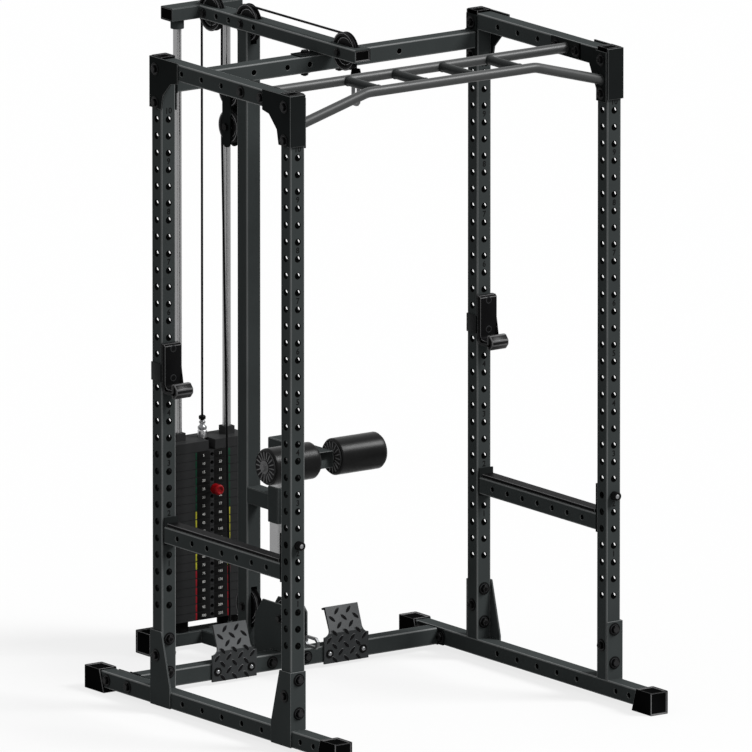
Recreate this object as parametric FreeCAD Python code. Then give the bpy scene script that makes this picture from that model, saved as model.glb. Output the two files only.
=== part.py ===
import FreeCAD, Part
import math
import os

# Power cage with a lat and row tower: two base rails carry four drilled uprights, and a
# cable tower with a weight stack stands behind them.
# Millimetres. X runs across the cage, Y from its front to its rear and Z up from the floor.

# ---- square tube of the cage
tube_side = 50.0
tube_wall = 3.0
tube_bevel = 2.5
plate = 5.0

# ---- cage
upright_x = 565.0
upright_y = 325.0
rail_low = 15.0
cage_height = 1950.0
hole_size = 17.0
hole_pitch = 50.0
first_hole = 315.0
hole_count = 30
bore_hole_count = 20
rail_front = 574.0
rail_rear = 682.0
top_rail_drop = 5.0
crossbar_y = 515.0
top_crossbar_drop = 59.0

# ---- feet
cap_wall = 6.0
cap_height = 70.0
cap_length = 75.0
cap_slope = 23.0

# ---- brackets and flanges
bracket_bolt_step = 50.0
base_bracket_rise = 174.0
base_bracket_reach = 100.0
base_bracket_taper = 57.0
bracket_sole = 12.0
top_bolt_drop = 35.0
top_bolt_gap = 100.0
top_bracket_fall = 152.0
top_bracket_reach = 142.0
top_bracket_lap = 7.0
top_bracket_heel = 34.0
top_bracket_slope = 39.0
top_bracket_neck = 9.0
flange_thick = 5.0
flange_half = 75.0
flange_shift = 15.0
crossbar_flange_half = 64.0
flange_bolt = 53.0
grip_flange_bolt = 50.0
bolt_across = 24.0
bolt_head = 10.0
nut_high = 13.0

# ---- pull-up grip
grip_radius = 15.0
rung_radius = 14.0
grip_drop = 94.0
grip_lift = 65.0
grip_bend_x = 300.0
grip_bend_radius = 90.0
rear_grip_y = -150.0
rung_pitch = 168.0

# ---- foot plates
foot_x = 201.0
foot_low = 10.0
foot_width = 160.0
foot_neck_width = 118.0
foot_shoulder = 90.0
foot_bend = 100.0
foot_rise = 75.0
foot_lean = 27.0
foot_lip = 19.0
neck_radius = 21.0

# ---- bar hooks
hook_width = 60.0
hook_plate = 8.0
hook_low = 955.0
hook_high = 1101.0
hook_reach = 75.0
hook_lip = 28.0
hook_liner = 15.0
hook_saddle_liner = 8.0
hook_cover = 28.0
hook_cover_wall = 7.0
hook_tab_low = 985.0
hook_tab_high = 1052.0
hook_hole_count = 15
peg_length = 40.0
fit_gap = 0.1

# ---- safety bars
safety_low = 505.0
safety_liner_width = 40.0
safety_liner_high = 10.0
safety_plate = 6.0
safety_plate_low = 6.0
safety_front_rise = 90.0
safety_rear_rise = 26.0
pin_hole_count = 6
peg_hole_count = 5
safety_pin_radius = 8.4
safety_pin_head = 13.0
safety_pin_grip = 22.0

# ---- tower frame
tower_tube_high = 40.0
tower_tube_wide = 60.0
post_back = 239.0
tower_flange = 6.0
tower_flange_half = 85.0
tower_bolt_x = 62.0
base_tube_y = 934.0
base_tube_half = 210.0
crosspiece_half = 126.0
boom_front = 118.0
saddle_thick = 4.0
saddle_half = 95.0
plug_deep = 12.0
cheek_rise = 45.0
cheek_front = 60.0
cheek_rear = 129.0
cheek_corner = 20.0
cheek_slope = 44.0
cheek_nose = 43.0

# ---- pulleys
pulley_radius = 57.0
cable_turn = 51.0
pulley_half = 9.0
block_pulley_radius = 49.0
block_turn = 43.5
groove_root_half = 3.5
axle_radius = 6.0
axle_fit = 0.05
axle_across = 20.0
axle_head = 8.0
side_play = 0.3
slot_half = 11.0
slot_clear = 4.0
front_pulley_y = 205.0
low_pulley_z = 165.0
row_reach = 195.0

# ---- floating block
block_hang = 219.0
block_gap = 108.0
strap_x = 10.5
strap_thick = 5.0
strap_width = 40.0
strap_end = 61.0

# ---- cables
cable_radius = 3.0
rope_fill = 0.93
groove_gap = 0.3
anchor_shift = 5.0
anchor_z = 100.0
lug_size = 26.0
lug_neck = 7.0
stop_top_radius = 13.0
stop_radius = 18.0
stop_length = 32.0
lat_stop_drop = 45.0
row_stop_reach = 48.0
link_length = 68.0
link_width = 34.0
link_bar = 8.0
link_stem = 9.0
link_bevel = 10.0

# ---- weight stack
plate_half = 140.0
plate_deep = 100.0
plate_pitch = 25.4
plate_gap = 0.4
plate_count = 20
lifted_count = 5
rod_x = 88.0
rod_radius = 12.5
rod_play = 0.5
buffer_radius = 30.0
buffer_high = 36.0
head_high = 30.0
bush_side = 34.0
bush_high = 24.0
collar_radius = 20.0
collar_high = 27.0
selector_radius = 10.0
selector_head = 11.0
selector_foot = 7.0
pin_radius = 5.0
knob_radius = 16.0
knob_length = 30.0
knob_face = 42.0
fitting_flange = 18.0
fitting_high = 65.0
fitting_ball = 11.0
fitting_washer = 7.0
fitting_nut = 14.0

# ---- leg roller
sleeve_reach = 156.0
sleeve_side = 52.0
sleeve_low = 446.0
sleeve_high = 553.0
roller_arm_low = 480.0
roller_post_side = 45.0
roller_post_low = 300.0
roller_post_high = 650.0
roller_reach = 211.0
roller_axle_radius = 12.5
roller_radius = 55.0
roller_inner = 33.0
roller_outer = 203.0
roller_cap = 5.0
roller_cap_step = 6.0
spacer_radius = 18.0
washer_radius = 20.0
washer_thick = 3.0
roller_bore = 14.0
knob_pin_radius = 5.0
knob_boss_radius = 12.0
knob_boss = 14.0
knob_grip_radius = 15.0
knob_grip = 20.0

# ---- worked out from the sizes above
half = tube_side / 2
rail_top = rail_low + tube_side
outer_x = upright_x + half
inner_x = upright_x - half
outer_y = upright_y + half
inner_y = upright_y - half
cage_front = -(rail_front + cap_wall)
hole_levels = [first_hole + hole_pitch * i for i in range(hole_count)]
base_bolt_low = rail_top + bracket_bolt_step
base_bolt_side = base_bolt_low + bracket_bolt_step
base_bolt_high = base_bolt_side + bracket_bolt_step
top_bolt_high = cage_height - top_bolt_drop
top_bolt_low = top_bolt_high - top_bolt_gap
top_rail_high = cage_height - top_rail_drop
top_rail_low = top_rail_high - tube_side
top_bar_high = cage_height - top_crossbar_drop
grip_end_z = cage_height - grip_drop
grip_z = grip_end_z + grip_lift
tower_top = rail_low + tower_tube_high
boom_low = top_bar_high + saddle_thick
boom_high = boom_low + tower_tube_high
top_pulley_z = boom_low + tower_tube_high / 2
crossbar_front = crossbar_y - half
crossbar_rear = crossbar_y + half
link_front = crossbar_rear + tower_flange
post_y = base_tube_y - post_back
rear_pulley_y = base_tube_y - cable_turn
row_pulley_y = post_y - row_reach
block_y = (rear_pulley_y + post_y) / 2
anchor_y = block_y + anchor_shift
sleeve_y = post_y - sleeve_reach
roller_y = sleeve_y - roller_reach
arm_front = roller_y - half
arm_rear = sleeve_y + half
base_tube_front = base_tube_y - tower_tube_wide / 2
base_tube_rear = base_tube_y + tower_tube_wide / 2
stack_low = tower_top + buffer_high
stack_high = stack_low + plate_pitch * plate_count
stack_front = base_tube_y - plate_deep / 2
stack_rear = base_tube_y + plate_deep / 2
pin_z = stack_high - plate_pitch * (lifted_count - 0.5)
head_top = stack_high + head_high
fitting_top = head_top + fitting_high
block_high_z = top_pulley_z - block_hang
block_low_z = block_high_z - block_gap
axle_z = roller_post_high + half
middle_y = (cage_front + stack_rear) / 2

V = FreeCAD.Vector
AXES = {"x": V(1, 0, 0), "y": V(0, 1, 0), "z": V(0, 0, 1)}


def span(centre, size):
    """Low and high end of a size laid about a centre."""
    return (centre - size / 2, centre + size / 2)


def ends(a, b):
    """Two places in rising order."""
    return (min(a, b), max(a, b))


def block(x, y, z):
    """Box between the low and high ends along each axis."""
    return Part.makeBox(x[1] - x[0], y[1] - y[0], z[1] - z[0], V(x[0], y[0], z[0]))


def along(shape, start, axis):
    """Shape built up the Z axis, moved to a start and turned to run along an axis."""
    shape.Placement = FreeCAD.Placement(V(*start), FreeCAD.Rotation(V(0, 0, 1), AXES[axis]))
    return shape


def rod(radius, start, axis, length):
    """Round bar that starts at a point and runs along an axis."""
    return Part.makeCylinder(radius, length, V(*start), AXES[axis])


def six_sided(across):
    """Hexagon of a size across its flats."""
    corner = across / math.sqrt(3)
    turns = [math.radians(60 * i) for i in range(7)]
    return Part.makePolygon([V(corner * math.cos(t), corner * math.sin(t), 0) for t in turns])


def prism(across, start, axis, length):
    """Six-sided bar of a size across its flats."""
    return along(Part.Face(six_sided(across)).extrude(V(0, 0, length)), start, axis)


def turned(profile, start, axis):
    """Solid of revolution from (height, radius) points, standing along an axis."""
    wire = Part.makePolygon([V(r, 0, h) for h, r in profile + profile[:1]])
    return along(Part.Face(wire).revolve(V(0, 0, 0), V(0, 0, 1), 360), start, axis)


def sheet(x, outline):
    """Plate across X, cut to an outline of (y, z) points."""
    points = [V(x[0], y, z) for y, z in outline]
    return Part.Face(Part.makePolygon(points + points[:1])).extrude(V(x[1] - x[0], 0, 0))


def edges_along(shape, axis):
    """The straight edges that run along an axis."""
    return [e for e in shape.Edges if abs(e.tangentAt(e.FirstParameter).dot(AXES[axis])) > 0.99]


def bevelled(shape, axis, size):
    return shape.makeChamfer(size, edges_along(shape, axis))


def tube(axis, x, y, z):
    """Rectangular steel tube, open at both ends, with eased outer corners."""
    inner = [(lo + tube_wall, hi - tube_wall) for lo, hi in (x, y, z)]
    inner["xyz".index(axis)] = {"x": x, "y": y, "z": z}[axis]
    return bevelled(block(x, y, z), axis, tube_bevel).cut(block(*inner))


def mirrored(shape):
    """The same piece on the other side of the cage."""
    return shape.mirror(V(0, 0, 0), V(1, 0, 0))


def save(name, *solids):
    """One node's file, with the origin under the middle of the cage."""
    shape = Part.makeCompound([s for piece in solids for s in piece.Solids])
    shape.translate(V(0, -middle_y, 0))
    shape.exportStep("parts/" + name + ".step")


# ---- cage frame

def upright(x, y):
    """Post with its row of holes through the front and rear walls."""
    post = tube("z", span(x, tube_side), span(y, tube_side), (rail_top, cage_height))
    start = y - tube_side
    cuts = [prism(hole_size, (x, start, z), "y", 2 * tube_side) for z in hole_levels]
    if y < 0:
        for i in (bore_hole_count, bore_hole_count + 1):
            cuts[i] = rod(hole_size / 2, (x, start, hole_levels[i]), "y", 2 * tube_side)
    return post.cut(cuts)


def upright_plug(x, y):
    """Flat plastic plug on top of an upright."""
    lip = block(span(x, tube_side), span(y, tube_side), (cage_height, cage_height + tube_wall))
    inside = tube_side - 2 * tube_wall
    tongue = block(span(x, inside), span(y, inside), (cage_height - tube_side / 3, cage_height))
    return lip.fuse(tongue)


def tube_plug(axis, x, y, z):
    """Flush plug in the open end of a tube; the two spans across the tube are its outer sizes."""
    room = [(lo + tube_wall, hi - tube_wall) for lo, hi in (x, y, z)]
    room["xyz".index(axis)] = {"x": x, "y": y, "z": z}[axis]
    return block(*room)


def base_rail(x):
    return tube("y", span(x, tube_side), (-rail_front, rail_rear), (rail_low, rail_top))


def foot_cap(x, end, way):
    """Shoe over a rail's end, with a sloped inner edge; way is -1 at the front."""
    face = end + way * cap_wall
    inside = face - way * cap_length
    toe = inside - way * cap_slope
    outline = [(face, 0), (toe, 0), (inside, cap_height), (face, cap_height)]
    shoe = sheet(span(x, tube_side + 2 * cap_wall), outline)
    return shoe.cut(block(span(x, tube_side), ends(end, toe - way), (rail_low, rail_top)))


def tower_cap(way):
    """Shoe over one end of the tower's base tube."""
    face = way * (base_tube_half + cap_wall)
    inside = face - way * cap_length
    wide = span(base_tube_y, tower_tube_wide + 2 * cap_wall)
    shoe = block(ends(face, inside), wide, (0, cap_height))
    pocket = block(ends(way * base_tube_half, inside), span(base_tube_y, tower_tube_wide), (rail_low, tower_top))
    return shoe.cut(pocket)


def base_bracket(sx, sy):
    """Angle plate that ties an upright to its base rail, tapered towards the cage's middle."""
    top = rail_top + base_bracket_rise
    end = outer_y + plate
    inner = end - base_bracket_reach
    outline = [(end, rail_low), (inner, rail_low), (inner, rail_top + bracket_sole),
               (end - base_bracket_taper, top), (end, top)]
    side = sheet(ends(sx * outer_x, sx * (outer_x + plate)), [(sy * y, z) for y, z in outline])
    face = block(ends(sx * inner_x, sx * (outer_x + plate)), ends(sy * outer_y, sy * end), (rail_top, top))
    return side.fuse(face).removeSplitter()


def top_bracket(sx, sy):
    """Angle plate at the top of an upright, with a tongue along the top rail."""
    low = cage_height - top_bracket_fall
    end = outer_y + plate
    tip = end - top_bracket_reach
    tongue = top_rail_low - top_bracket_lap
    heel = tip + top_bracket_heel
    throat = heel + top_bracket_slope
    under = tongue - top_bracket_lap
    outline = [(end, cage_height), (tip, cage_height), (tip, tongue), (heel, under),
               (throat, under - top_bracket_slope), (throat + top_bracket_neck, low), (end, low)]
    side = sheet(ends(sx * outer_x, sx * (outer_x + plate)), [(sy * y, z) for y, z in outline])
    face = block(ends(sx * inner_x, sx * (outer_x + plate)), ends(sy * outer_y, sy * end), (low, cage_height))
    return side.fuse(face).removeSplitter()


def end_flange(sx, y, z):
    """Flat flange against the inner face of a side frame."""
    return block(ends(sx * inner_x, sx * (inner_x - flange_thick)), y, z)


def base_crossbar():
    """Tube between the base rails, with a long bolting flange on each end."""
    run = inner_x - flange_thick
    bar = tube("x", (-run, run), (crossbar_front, crossbar_rear), (rail_low, rail_top))
    wide = span(crossbar_y + flange_shift, 2 * crossbar_flange_half)
    return bar.fuse([end_flange(s, wide, (rail_low, rail_top)) for s in (-1, 1)])


def top_crossbar():
    """Tube between the rear uprights, with tall bolting flanges."""
    run = inner_x - flange_thick
    low = top_bar_high - tube_side
    bar = tube("x", (-run, run), (inner_y, outer_y), (low, top_bar_high))
    tall = (top_bolt_low - half, top_bolt_high + half)
    return bar.fuse([end_flange(s, (inner_y, outer_y), tall) for s in (-1, 1)])


def top_rail(x):
    return tube("y", span(x, tube_side), (-inner_y, inner_y), (top_rail_low, top_rail_high))


def bent_wire(points, radius):
    """Line through points, with each corner turned by a tangent arc."""
    edges = []
    here = points[0]
    for before, corner, after in zip(points, points[1:], points[2:]):
        back = (before - corner).normalize()
        ahead = (after - corner).normalize()
        half_turn = (math.pi - back.getAngle(ahead)) / 2
        start = corner + back * radius * math.tan(half_turn)
        end = corner + ahead * radius * math.tan(half_turn)
        crown = corner + (back + ahead).normalize() * radius * (1 / math.cos(half_turn) - 1)
        edges.append(Part.makeLine(here, start))
        edges.append(Part.Arc(start, crown, end).toShape())
        here = end
    edges.append(Part.makeLine(here, points[-1]))
    return Part.Wire(edges)


def start_of(wire):
    """First point of a wire and its direction there."""
    edge = wire.Edges[0]
    return edge.valueAt(edge.FirstParameter), edge.tangentAt(edge.FirstParameter)


def front_grip():
    """Bent tube with dropped ends, welded to flanges on the front uprights."""
    run = inner_x - flange_thick
    path = [V(-run, -upright_y, grip_end_z), V(-grip_bend_x, -upright_y, grip_z),
            V(grip_bend_x, -upright_y, grip_z), V(run, -upright_y, grip_end_z)]
    wire = bent_wire(path, grip_bend_radius)
    circle = Part.Wire([Part.makeCircle(grip_radius, *start_of(wire))])
    grip = wire.makePipeShell([circle], True, False)
    tall = (top_bolt_low - half, top_bolt_high + half)
    ears = [end_flange(s, (-outer_y, -inner_y), tall) for s in (-1, 1)]
    gap = block((-run, run), (-outer_y, -inner_y), tall)
    return grip.common(gap).fuse(ears)


def rear_grip():
    """Straight tube welded to flanges on the top rails."""
    run = inner_x - flange_thick
    grip = rod(grip_radius, (-run, rear_grip_y, grip_z), "x", 2 * run)
    wide = span(rear_grip_y, 2 * flange_half)
    return grip.fuse([end_flange(s, wide, (top_rail_low, top_rail_high)) for s in (-1, 1)])


def grip_rung(x, front, rear):
    """Bar between the two grip tubes, coped to their round walls."""
    bar = rod(rung_radius, (x, -upright_y, grip_z), "y", rear_grip_y + upright_y)
    return bar.cut([front, rear])


def foot_plate(x):
    """Tread plate on the base crossbar: wide foot, curved shoulders and a leaning top."""
    front = crossbar_front - plate
    top = foot_bend + foot_rise
    back = front + foot_lean
    lean = math.atan2(foot_lean, foot_rise)
    lip_y = foot_lip * math.cos(lean)
    lip_z = foot_lip * math.sin(lean)
    side = [(front, foot_low), (front, foot_bend), (back, top), (back + lip_y, top - lip_z),
            (back + lip_y - plate * math.sin(lean), top - lip_z - plate), (back + plate, top - 2 * plate),
            (front + plate, foot_bend), (front + plate, foot_low)]
    wide = foot_width / 2
    neck = foot_neck_width / 2
    turn = foot_shoulder + neck_radius
    bend = neck_radius * (1 - math.sqrt(0.5))
    y = front - plate
    right = [Part.makeLine(V(-wide, y, 0), V(wide, y, 0)),
             Part.makeLine(V(wide, y, 0), V(wide, y, foot_shoulder)),
             Part.Arc(V(wide, y, foot_shoulder), V(neck + bend, y, foot_shoulder + bend),
                      V(neck, y, turn)).toShape(),
             Part.makeLine(V(neck, y, turn), V(neck, y, top + plate)),
             Part.makeLine(V(neck, y, top + plate), V(-neck, y, top + plate)),
             Part.makeLine(V(-neck, y, top + plate), V(-neck, y, turn)),
             Part.Arc(V(-neck, y, turn), V(-neck - bend, y, foot_shoulder + bend),
                      V(-wide, y, foot_shoulder)).toShape(),
             Part.makeLine(V(-wide, y, foot_shoulder), V(-wide, y, 0))]
    front_view = Part.Face(Part.Wire(right)).extrude(V(0, foot_width, 0))
    tread = sheet((-wide, wide), side).common(front_view)
    tread.translate(V(x, 0, 0))
    return tread


# ---- fasteners of the frame

def hex_pair(a, b, axis):
    """Bolt head outside and nut inside, each flat on its face; a and b are the two faces' points."""
    way = 1 if b["xyz".index(axis)] > a["xyz".index(axis)] else -1
    head = list(a)
    nut = list(b)
    i = "xyz".index(axis)
    head[i] = a[i] - bolt_head if way > 0 else a[i]
    nut[i] = b[i] if way > 0 else b[i] - nut_high
    return [prism(bolt_across, head, axis, bolt_head), prism(bolt_across, nut, axis, nut_high)]


def frame_bolts():
    """Hex bolts and nuts of the cage and tower, seen as heads and nuts on the plates."""
    solids = []
    for sx in (-1, 1):
        outside = sx * (outer_x + plate)
        flange = sx * (inner_x - flange_thick)
        for sy in (-1, 1):
            x = sx * upright_x
            end = sy * (outer_y + plate)
            for z in (base_bolt_low, base_bolt_high):
                solids += hex_pair((x, end, z), (x, sy * inner_y, z), "y")
            y = sy * upright_y
            solids += hex_pair((outside, y, base_bolt_side), (sx * inner_x, y, base_bolt_side), "x")
            for z in (top_bolt_low, top_bolt_high):
                solids += hex_pair((outside, y, z), (flange, y, z), "x")
        for way in (-1, 1):
            y = crossbar_y + flange_shift + way * flange_bolt
            solids += hex_pair((sx * outer_x, y, rail_low + half), (flange, y, rail_low + half), "x")
            y = rear_grip_y + way * grip_flange_bolt
            z = top_rail_low + half
            solids += hex_pair((sx * outer_x, y, z), (flange, y, z), "x")
        x = sx * tower_bolt_x
        solids += hex_pair((x, crossbar_front, rail_low + half), (x, link_front, rail_low + half), "y")
        solids += hex_pair((x, upright_y, boom_low), (x, upright_y, top_bar_high - tube_side), "z")
        for way in (-1, 1):
            x = sx * foot_x + way * foot_width * 3 / 8
            solids += [prism(bolt_across, (x, crossbar_front - plate - bolt_head, rail_low + half), "y", bolt_head)]
    return solids


# ---- tower frame

def pulley_slot(y, z, radius):
    """Room for a pulley that turns through a tube's walls."""
    reach = radius + slot_clear
    return block((-slot_half, slot_half), (y - reach, y + reach), (z - reach, z + reach))


def axle_hole(y, z):
    """Hole across the tower for a pulley's axle."""
    return prism(2 * (axle_radius + side_play), (-tube_side, y, z), "x", 2 * tube_side)


def tower_base():
    """Welded foot of the tower: a cross tube, and a tube forward to its bolting flange."""
    wide = (base_tube_front, base_tube_rear)
    cross = tube("x", (-base_tube_half, base_tube_half), wide, (rail_low, tower_top))
    run = tube("y", (-half, half), (link_front, base_tube_front), (rail_low, tower_top))
    face = block((-tower_flange_half, tower_flange_half), (crossbar_rear, link_front), (rail_low, rail_top))
    lug = block(span(0, plate), span(anchor_y, lug_size), (tower_top, tower_top + lug_size))
    neck_low = tower_top + lug_size / 2
    neck = rod(lug_neck, (0, anchor_y, neck_low), "z", anchor_z - groove_gap - neck_low)
    return cross.fuse([run, face, lug, neck])


def tower_post():
    """Upright of the tower, slotted for the low and the middle pulley."""
    post = tube("z", (-half, half), span(post_y, tube_side), (tower_top, boom_low))
    low = pulley_slot(post_y, low_pulley_z, pulley_radius)
    high = pulley_slot(post_y, top_pulley_z, pulley_radius)
    return post.cut([low, high, axle_hole(post_y, low_pulley_z)])


def boom():
    """Top arm of the tower with a slot at each pulley, and the saddle that bolts it down."""
    sides = span(0, tower_tube_wide)
    arm = tube("y", sides, (boom_front, base_tube_front), (boom_low, boom_high))
    places = (rear_pulley_y, post_y, front_pulley_y)
    arm = arm.cut([pulley_slot(y, top_pulley_z, pulley_radius) for y in places])
    arm = arm.cut([axle_hole(y, top_pulley_z) for y in places])
    saddle = block((-saddle_half, saddle_half), (inner_y, outer_y), (top_bar_high, boom_low))
    return arm.fuse(saddle)


def crosspiece():
    """Tube across the tower's top that holds the guide rods in two collars."""
    sides = (-crosspiece_half, crosspiece_half)
    bar = tube("x", sides, (base_tube_front, base_tube_rear), (boom_low, boom_high))
    bar = bar.cut(pulley_slot(rear_pulley_y, top_pulley_z, pulley_radius))
    collars = [rod(collar_radius, (s * rod_x, base_tube_y, boom_low - collar_high), "z", collar_high)
               for s in (-1, 1)]
    bores = [rod(rod_radius + fit_gap, (s * rod_x, base_tube_y, boom_low - collar_high), "z", collar_high)
             for s in (-1, 1)]
    return bar.fuse(collars).cut(bores)


def row_cheek(x):
    """Side plate of the low row pulley, over the crossbar and down the link tube."""
    top = low_pulley_z + cheek_rise
    low = rail_low + plate
    over = rail_top + 2
    front = row_pulley_y - cheek_front
    rear = row_pulley_y + cheek_rear
    outline = [(link_front, low), (rear, low), (rear, low_pulley_z - cheek_rise),
               (rear - cheek_corner / 2, low_pulley_z), (rear - cheek_slope, top), (front + cheek_corner, top),
               (front, top - cheek_corner), (front, over + cheek_nose), (front + cheek_corner, over),
               (link_front, over)]
    side = sheet((x, x + plate), outline)
    return side.cut(axle_hole(row_pulley_y, low_pulley_z))


# ---- pulleys and their axles

def pulley(y, z, radius, turn):
    """Wheel with a V groove for the cable, bored for its axle."""
    root = turn - cable_radius - groove_gap
    bore = axle_radius + axle_fit
    w = pulley_half
    profile = [(-w, bore), (-w, radius), (-groove_root_half, root), (groove_root_half, root),
               (w, radius), (w, bore)]
    return turned(profile, (0, y, z), "x")


def pulley_axle(y, z, wall):
    """Bolt across a pulley, with a head and a nut outside the walls."""
    shaft = rod(axle_radius, (-wall, y, z), "x", 2 * wall)
    heads = [prism(axle_across, (x, y, z), "x", axle_head) for x in (wall, -wall - axle_head)]
    return shaft.fuse(heads)


def strap(side):
    """Long link of the floating block with round ends and two axle holes."""
    x = side * strap_x if side > 0 else -strap_x - strap_thick
    low = block_low_z - strap_end
    high = block_high_z + strap_end
    bar = block((x, x + strap_thick), span(block_y, strap_width), (low, high))
    bar = bar.makeFillet(strap_width / 2 - 1, edges_along(bar, "x"))
    return bar.cut([axle_hole(block_y, z) for z in (block_low_z, block_high_z)])


def block_axle(z):
    """Axle bolt of the floating block."""
    return pulley_axle(block_y, z, strap_x + strap_thick)


# ---- cables

def line(a, b):
    return Part.makeLine(V(0, *a), V(0, *b))


def wrap(centre, radius, start, turn):
    """Arc of cable about a pulley, from a start angle through a turn, in degrees from +Y."""
    y, z = centre
    angles = [math.radians(start + turn * k) for k in (0, 0.5, 1)]
    points = [V(0, y + radius * math.cos(a), z + radius * math.sin(a)) for a in angles]
    return Part.Arc(*points).toShape()


def cable(*edges):
    """Steel rope along its route, drawn with six flats like a bundle of strands."""
    wire = Part.Wire(list(edges))
    start, way = start_of(wire)
    ring = six_sided(2 * cable_radius * rope_fill)
    ring.Placement = FreeCAD.Placement(start, FreeCAD.Rotation(V(0, 0, 1), way))
    return wire.makePipeShell([ring], True, False)


rear_run = rear_pulley_y - cable_turn
front_run = post_y + cable_turn
top_line = top_pulley_z + cable_turn
low_line = low_pulley_z - cable_turn
stack_run = rear_pulley_y + cable_turn
lat_y = front_pulley_y - cable_turn
lat_stop_z = top_pulley_z - lat_stop_drop
row_stop_y = row_pulley_y - row_stop_reach


def top_cable():
    """Fixed stretches of the lat cable: over the rear pulley, then over the middle and front ones."""
    rear = cable(wrap((rear_pulley_y, top_pulley_z), cable_turn, 0, 180))
    front = cable(wrap((post_y, top_pulley_z), cable_turn, 0, 90),
                  line((post_y, top_line), (front_pulley_y, top_line)),
                  wrap((front_pulley_y, top_pulley_z), cable_turn, 90, 90),
                  line((lat_y, top_pulley_z), (lat_y, lat_stop_z)))
    return [rear, front]


def low_cable():
    """Fixed stretch of the row cable: round the low pulley and out under the row pulley."""
    return cable(wrap((post_y, low_pulley_z), cable_turn, 0, -90),
                 line((post_y, low_line), (row_stop_y, low_line)))


def block_loops():
    """Cable turns that travel with the floating block."""
    over = cable(wrap((block_y, block_low_z), block_turn, 0, 180))
    under = cable(wrap((block_y, block_high_z), block_turn, 0, -180))
    return [under, over]


def cable_stop(start, axis, way):
    """Cone of rubber at a cable's end."""
    profile = [(0, 0), (0, stop_top_radius), (way * stop_length, stop_radius), (way * stop_length, 0)]
    return turned(profile, start, axis)


def snap_link(y, z, axis, way):
    """Flat steel link behind the stop, for a handle to clip on."""
    wide = link_width / 2
    tail = link_stem + link_length
    ring = block((-link_bar / 2, link_bar / 2), (-wide, wide), (link_stem, tail))
    ring = bevelled(ring, "x", link_bevel)
    eye = block((-link_bar, link_bar), (link_bar - wide, wide - link_bar), (link_stem + link_bar, tail - link_bar))
    ring = ring.cut(bevelled(eye, "x", link_bevel - link_bar / 2))
    ring = ring.fuse(rod(link_bar / 2, (0, 0, 0), "z", link_stem + 1))
    turn = 0 if way > 0 else 180
    if axis == "y":
        turn = -90 if way > 0 else 90
    ring.rotate(V(0, 0, 0), V(1, 0, 0), turn)
    ring.translate(V(0, y, z))
    return ring


# ---- weight stack

def rod_holes(radius, z):
    return [rod(radius, (s * rod_x, base_tube_y, z[0]), "z", z[1] - z[0]) for s in (-1, 1)]


def stack_plate(index):
    """Weight plate counted from the bottom, pierced for both guide rods, the selector and its pin."""
    low = stack_low + plate_pitch * index
    high = low + plate_pitch - plate_gap
    slab = block((-plate_half, plate_half), (stack_front, stack_rear), (low, high))
    across = 2 * (rod_radius + rod_play)
    guides = [prism(across, (s * rod_x, base_tube_y, low), "z", high - low) for s in (-1, 1)]
    middle = prism(2 * (selector_radius + rod_play), (0, base_tube_y, low), "z", high - low)
    pin = prism(2 * (pin_radius + rod_play), (0, stack_front, pin_level(index)), "y", plate_deep / 2)
    return slab.cut(guides + [middle, pin])


def pin_level(index):
    """Height of the pin hole in a plate."""
    return stack_low + plate_pitch * (index + 0.5)


def head_plate():
    """Top plate with two guide bushings and an open slot round the selector's head."""
    slab = block((-plate_half, plate_half), (stack_front, stack_rear), (stack_high, head_top))
    towers = [block(span(s * rod_x, bush_side), span(base_tube_y, bush_side), (head_top, head_top + bush_high))
              for s in (-1, 1)]
    slot_radius = selector_head + rod_play
    slot = rod(slot_radius, (0, base_tube_y, stack_high), "z", head_high)
    mouth = block((-slot_radius, slot_radius), (stack_front, base_tube_y), (stack_high, head_top))
    bores = rod_holes(rod_radius + axle_fit, (stack_high, head_top + bush_high))
    return slab.fuse(towers).cut([slot, mouth] + bores)


def selector_rod():
    """Rod down the middle of the stack with a hole for the pin, and the cable fitting on top."""
    low = stack_low + selector_foot
    flange = head_top + fitting_washer
    nut = flange + fitting_nut
    ball_low = fitting_top - fitting_ball
    profile = [(low, 0), (low, selector_radius), (stack_high, selector_radius), (stack_high, selector_head),
               (head_top, selector_head), (head_top, fitting_flange), (flange, fitting_flange),
               (flange, axle_radius), (ball_low, axle_radius), (ball_low, fitting_ball),
               (fitting_top, fitting_ball), (fitting_top, 0)]
    body = turned(profile, (0, base_tube_y, 0), "z")
    collar = prism(bolt_across, (0, base_tube_y, flange), "z", nut - flange)
    hole = rod(pin_radius + fit_gap, (0, base_tube_y - bolt_across, pin_z), "y", 2 * bolt_across)
    return body.fuse(collar).cut(hole)


def selector_pin():
    """Pin with a turned knob, pushed into the lowest plate that is lifted."""
    face = stack_front - knob_face
    back = face + knob_length
    tip = base_tube_y + selector_radius
    profile = [(face, 0), (face, knob_radius - 3), (face + 3, knob_radius), (back, knob_radius),
               (back, pin_radius), (tip, pin_radius), (tip, 0)]
    return turned(profile, (0, 0, pin_z), "y")


# ---- bar hooks and safety bars

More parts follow.
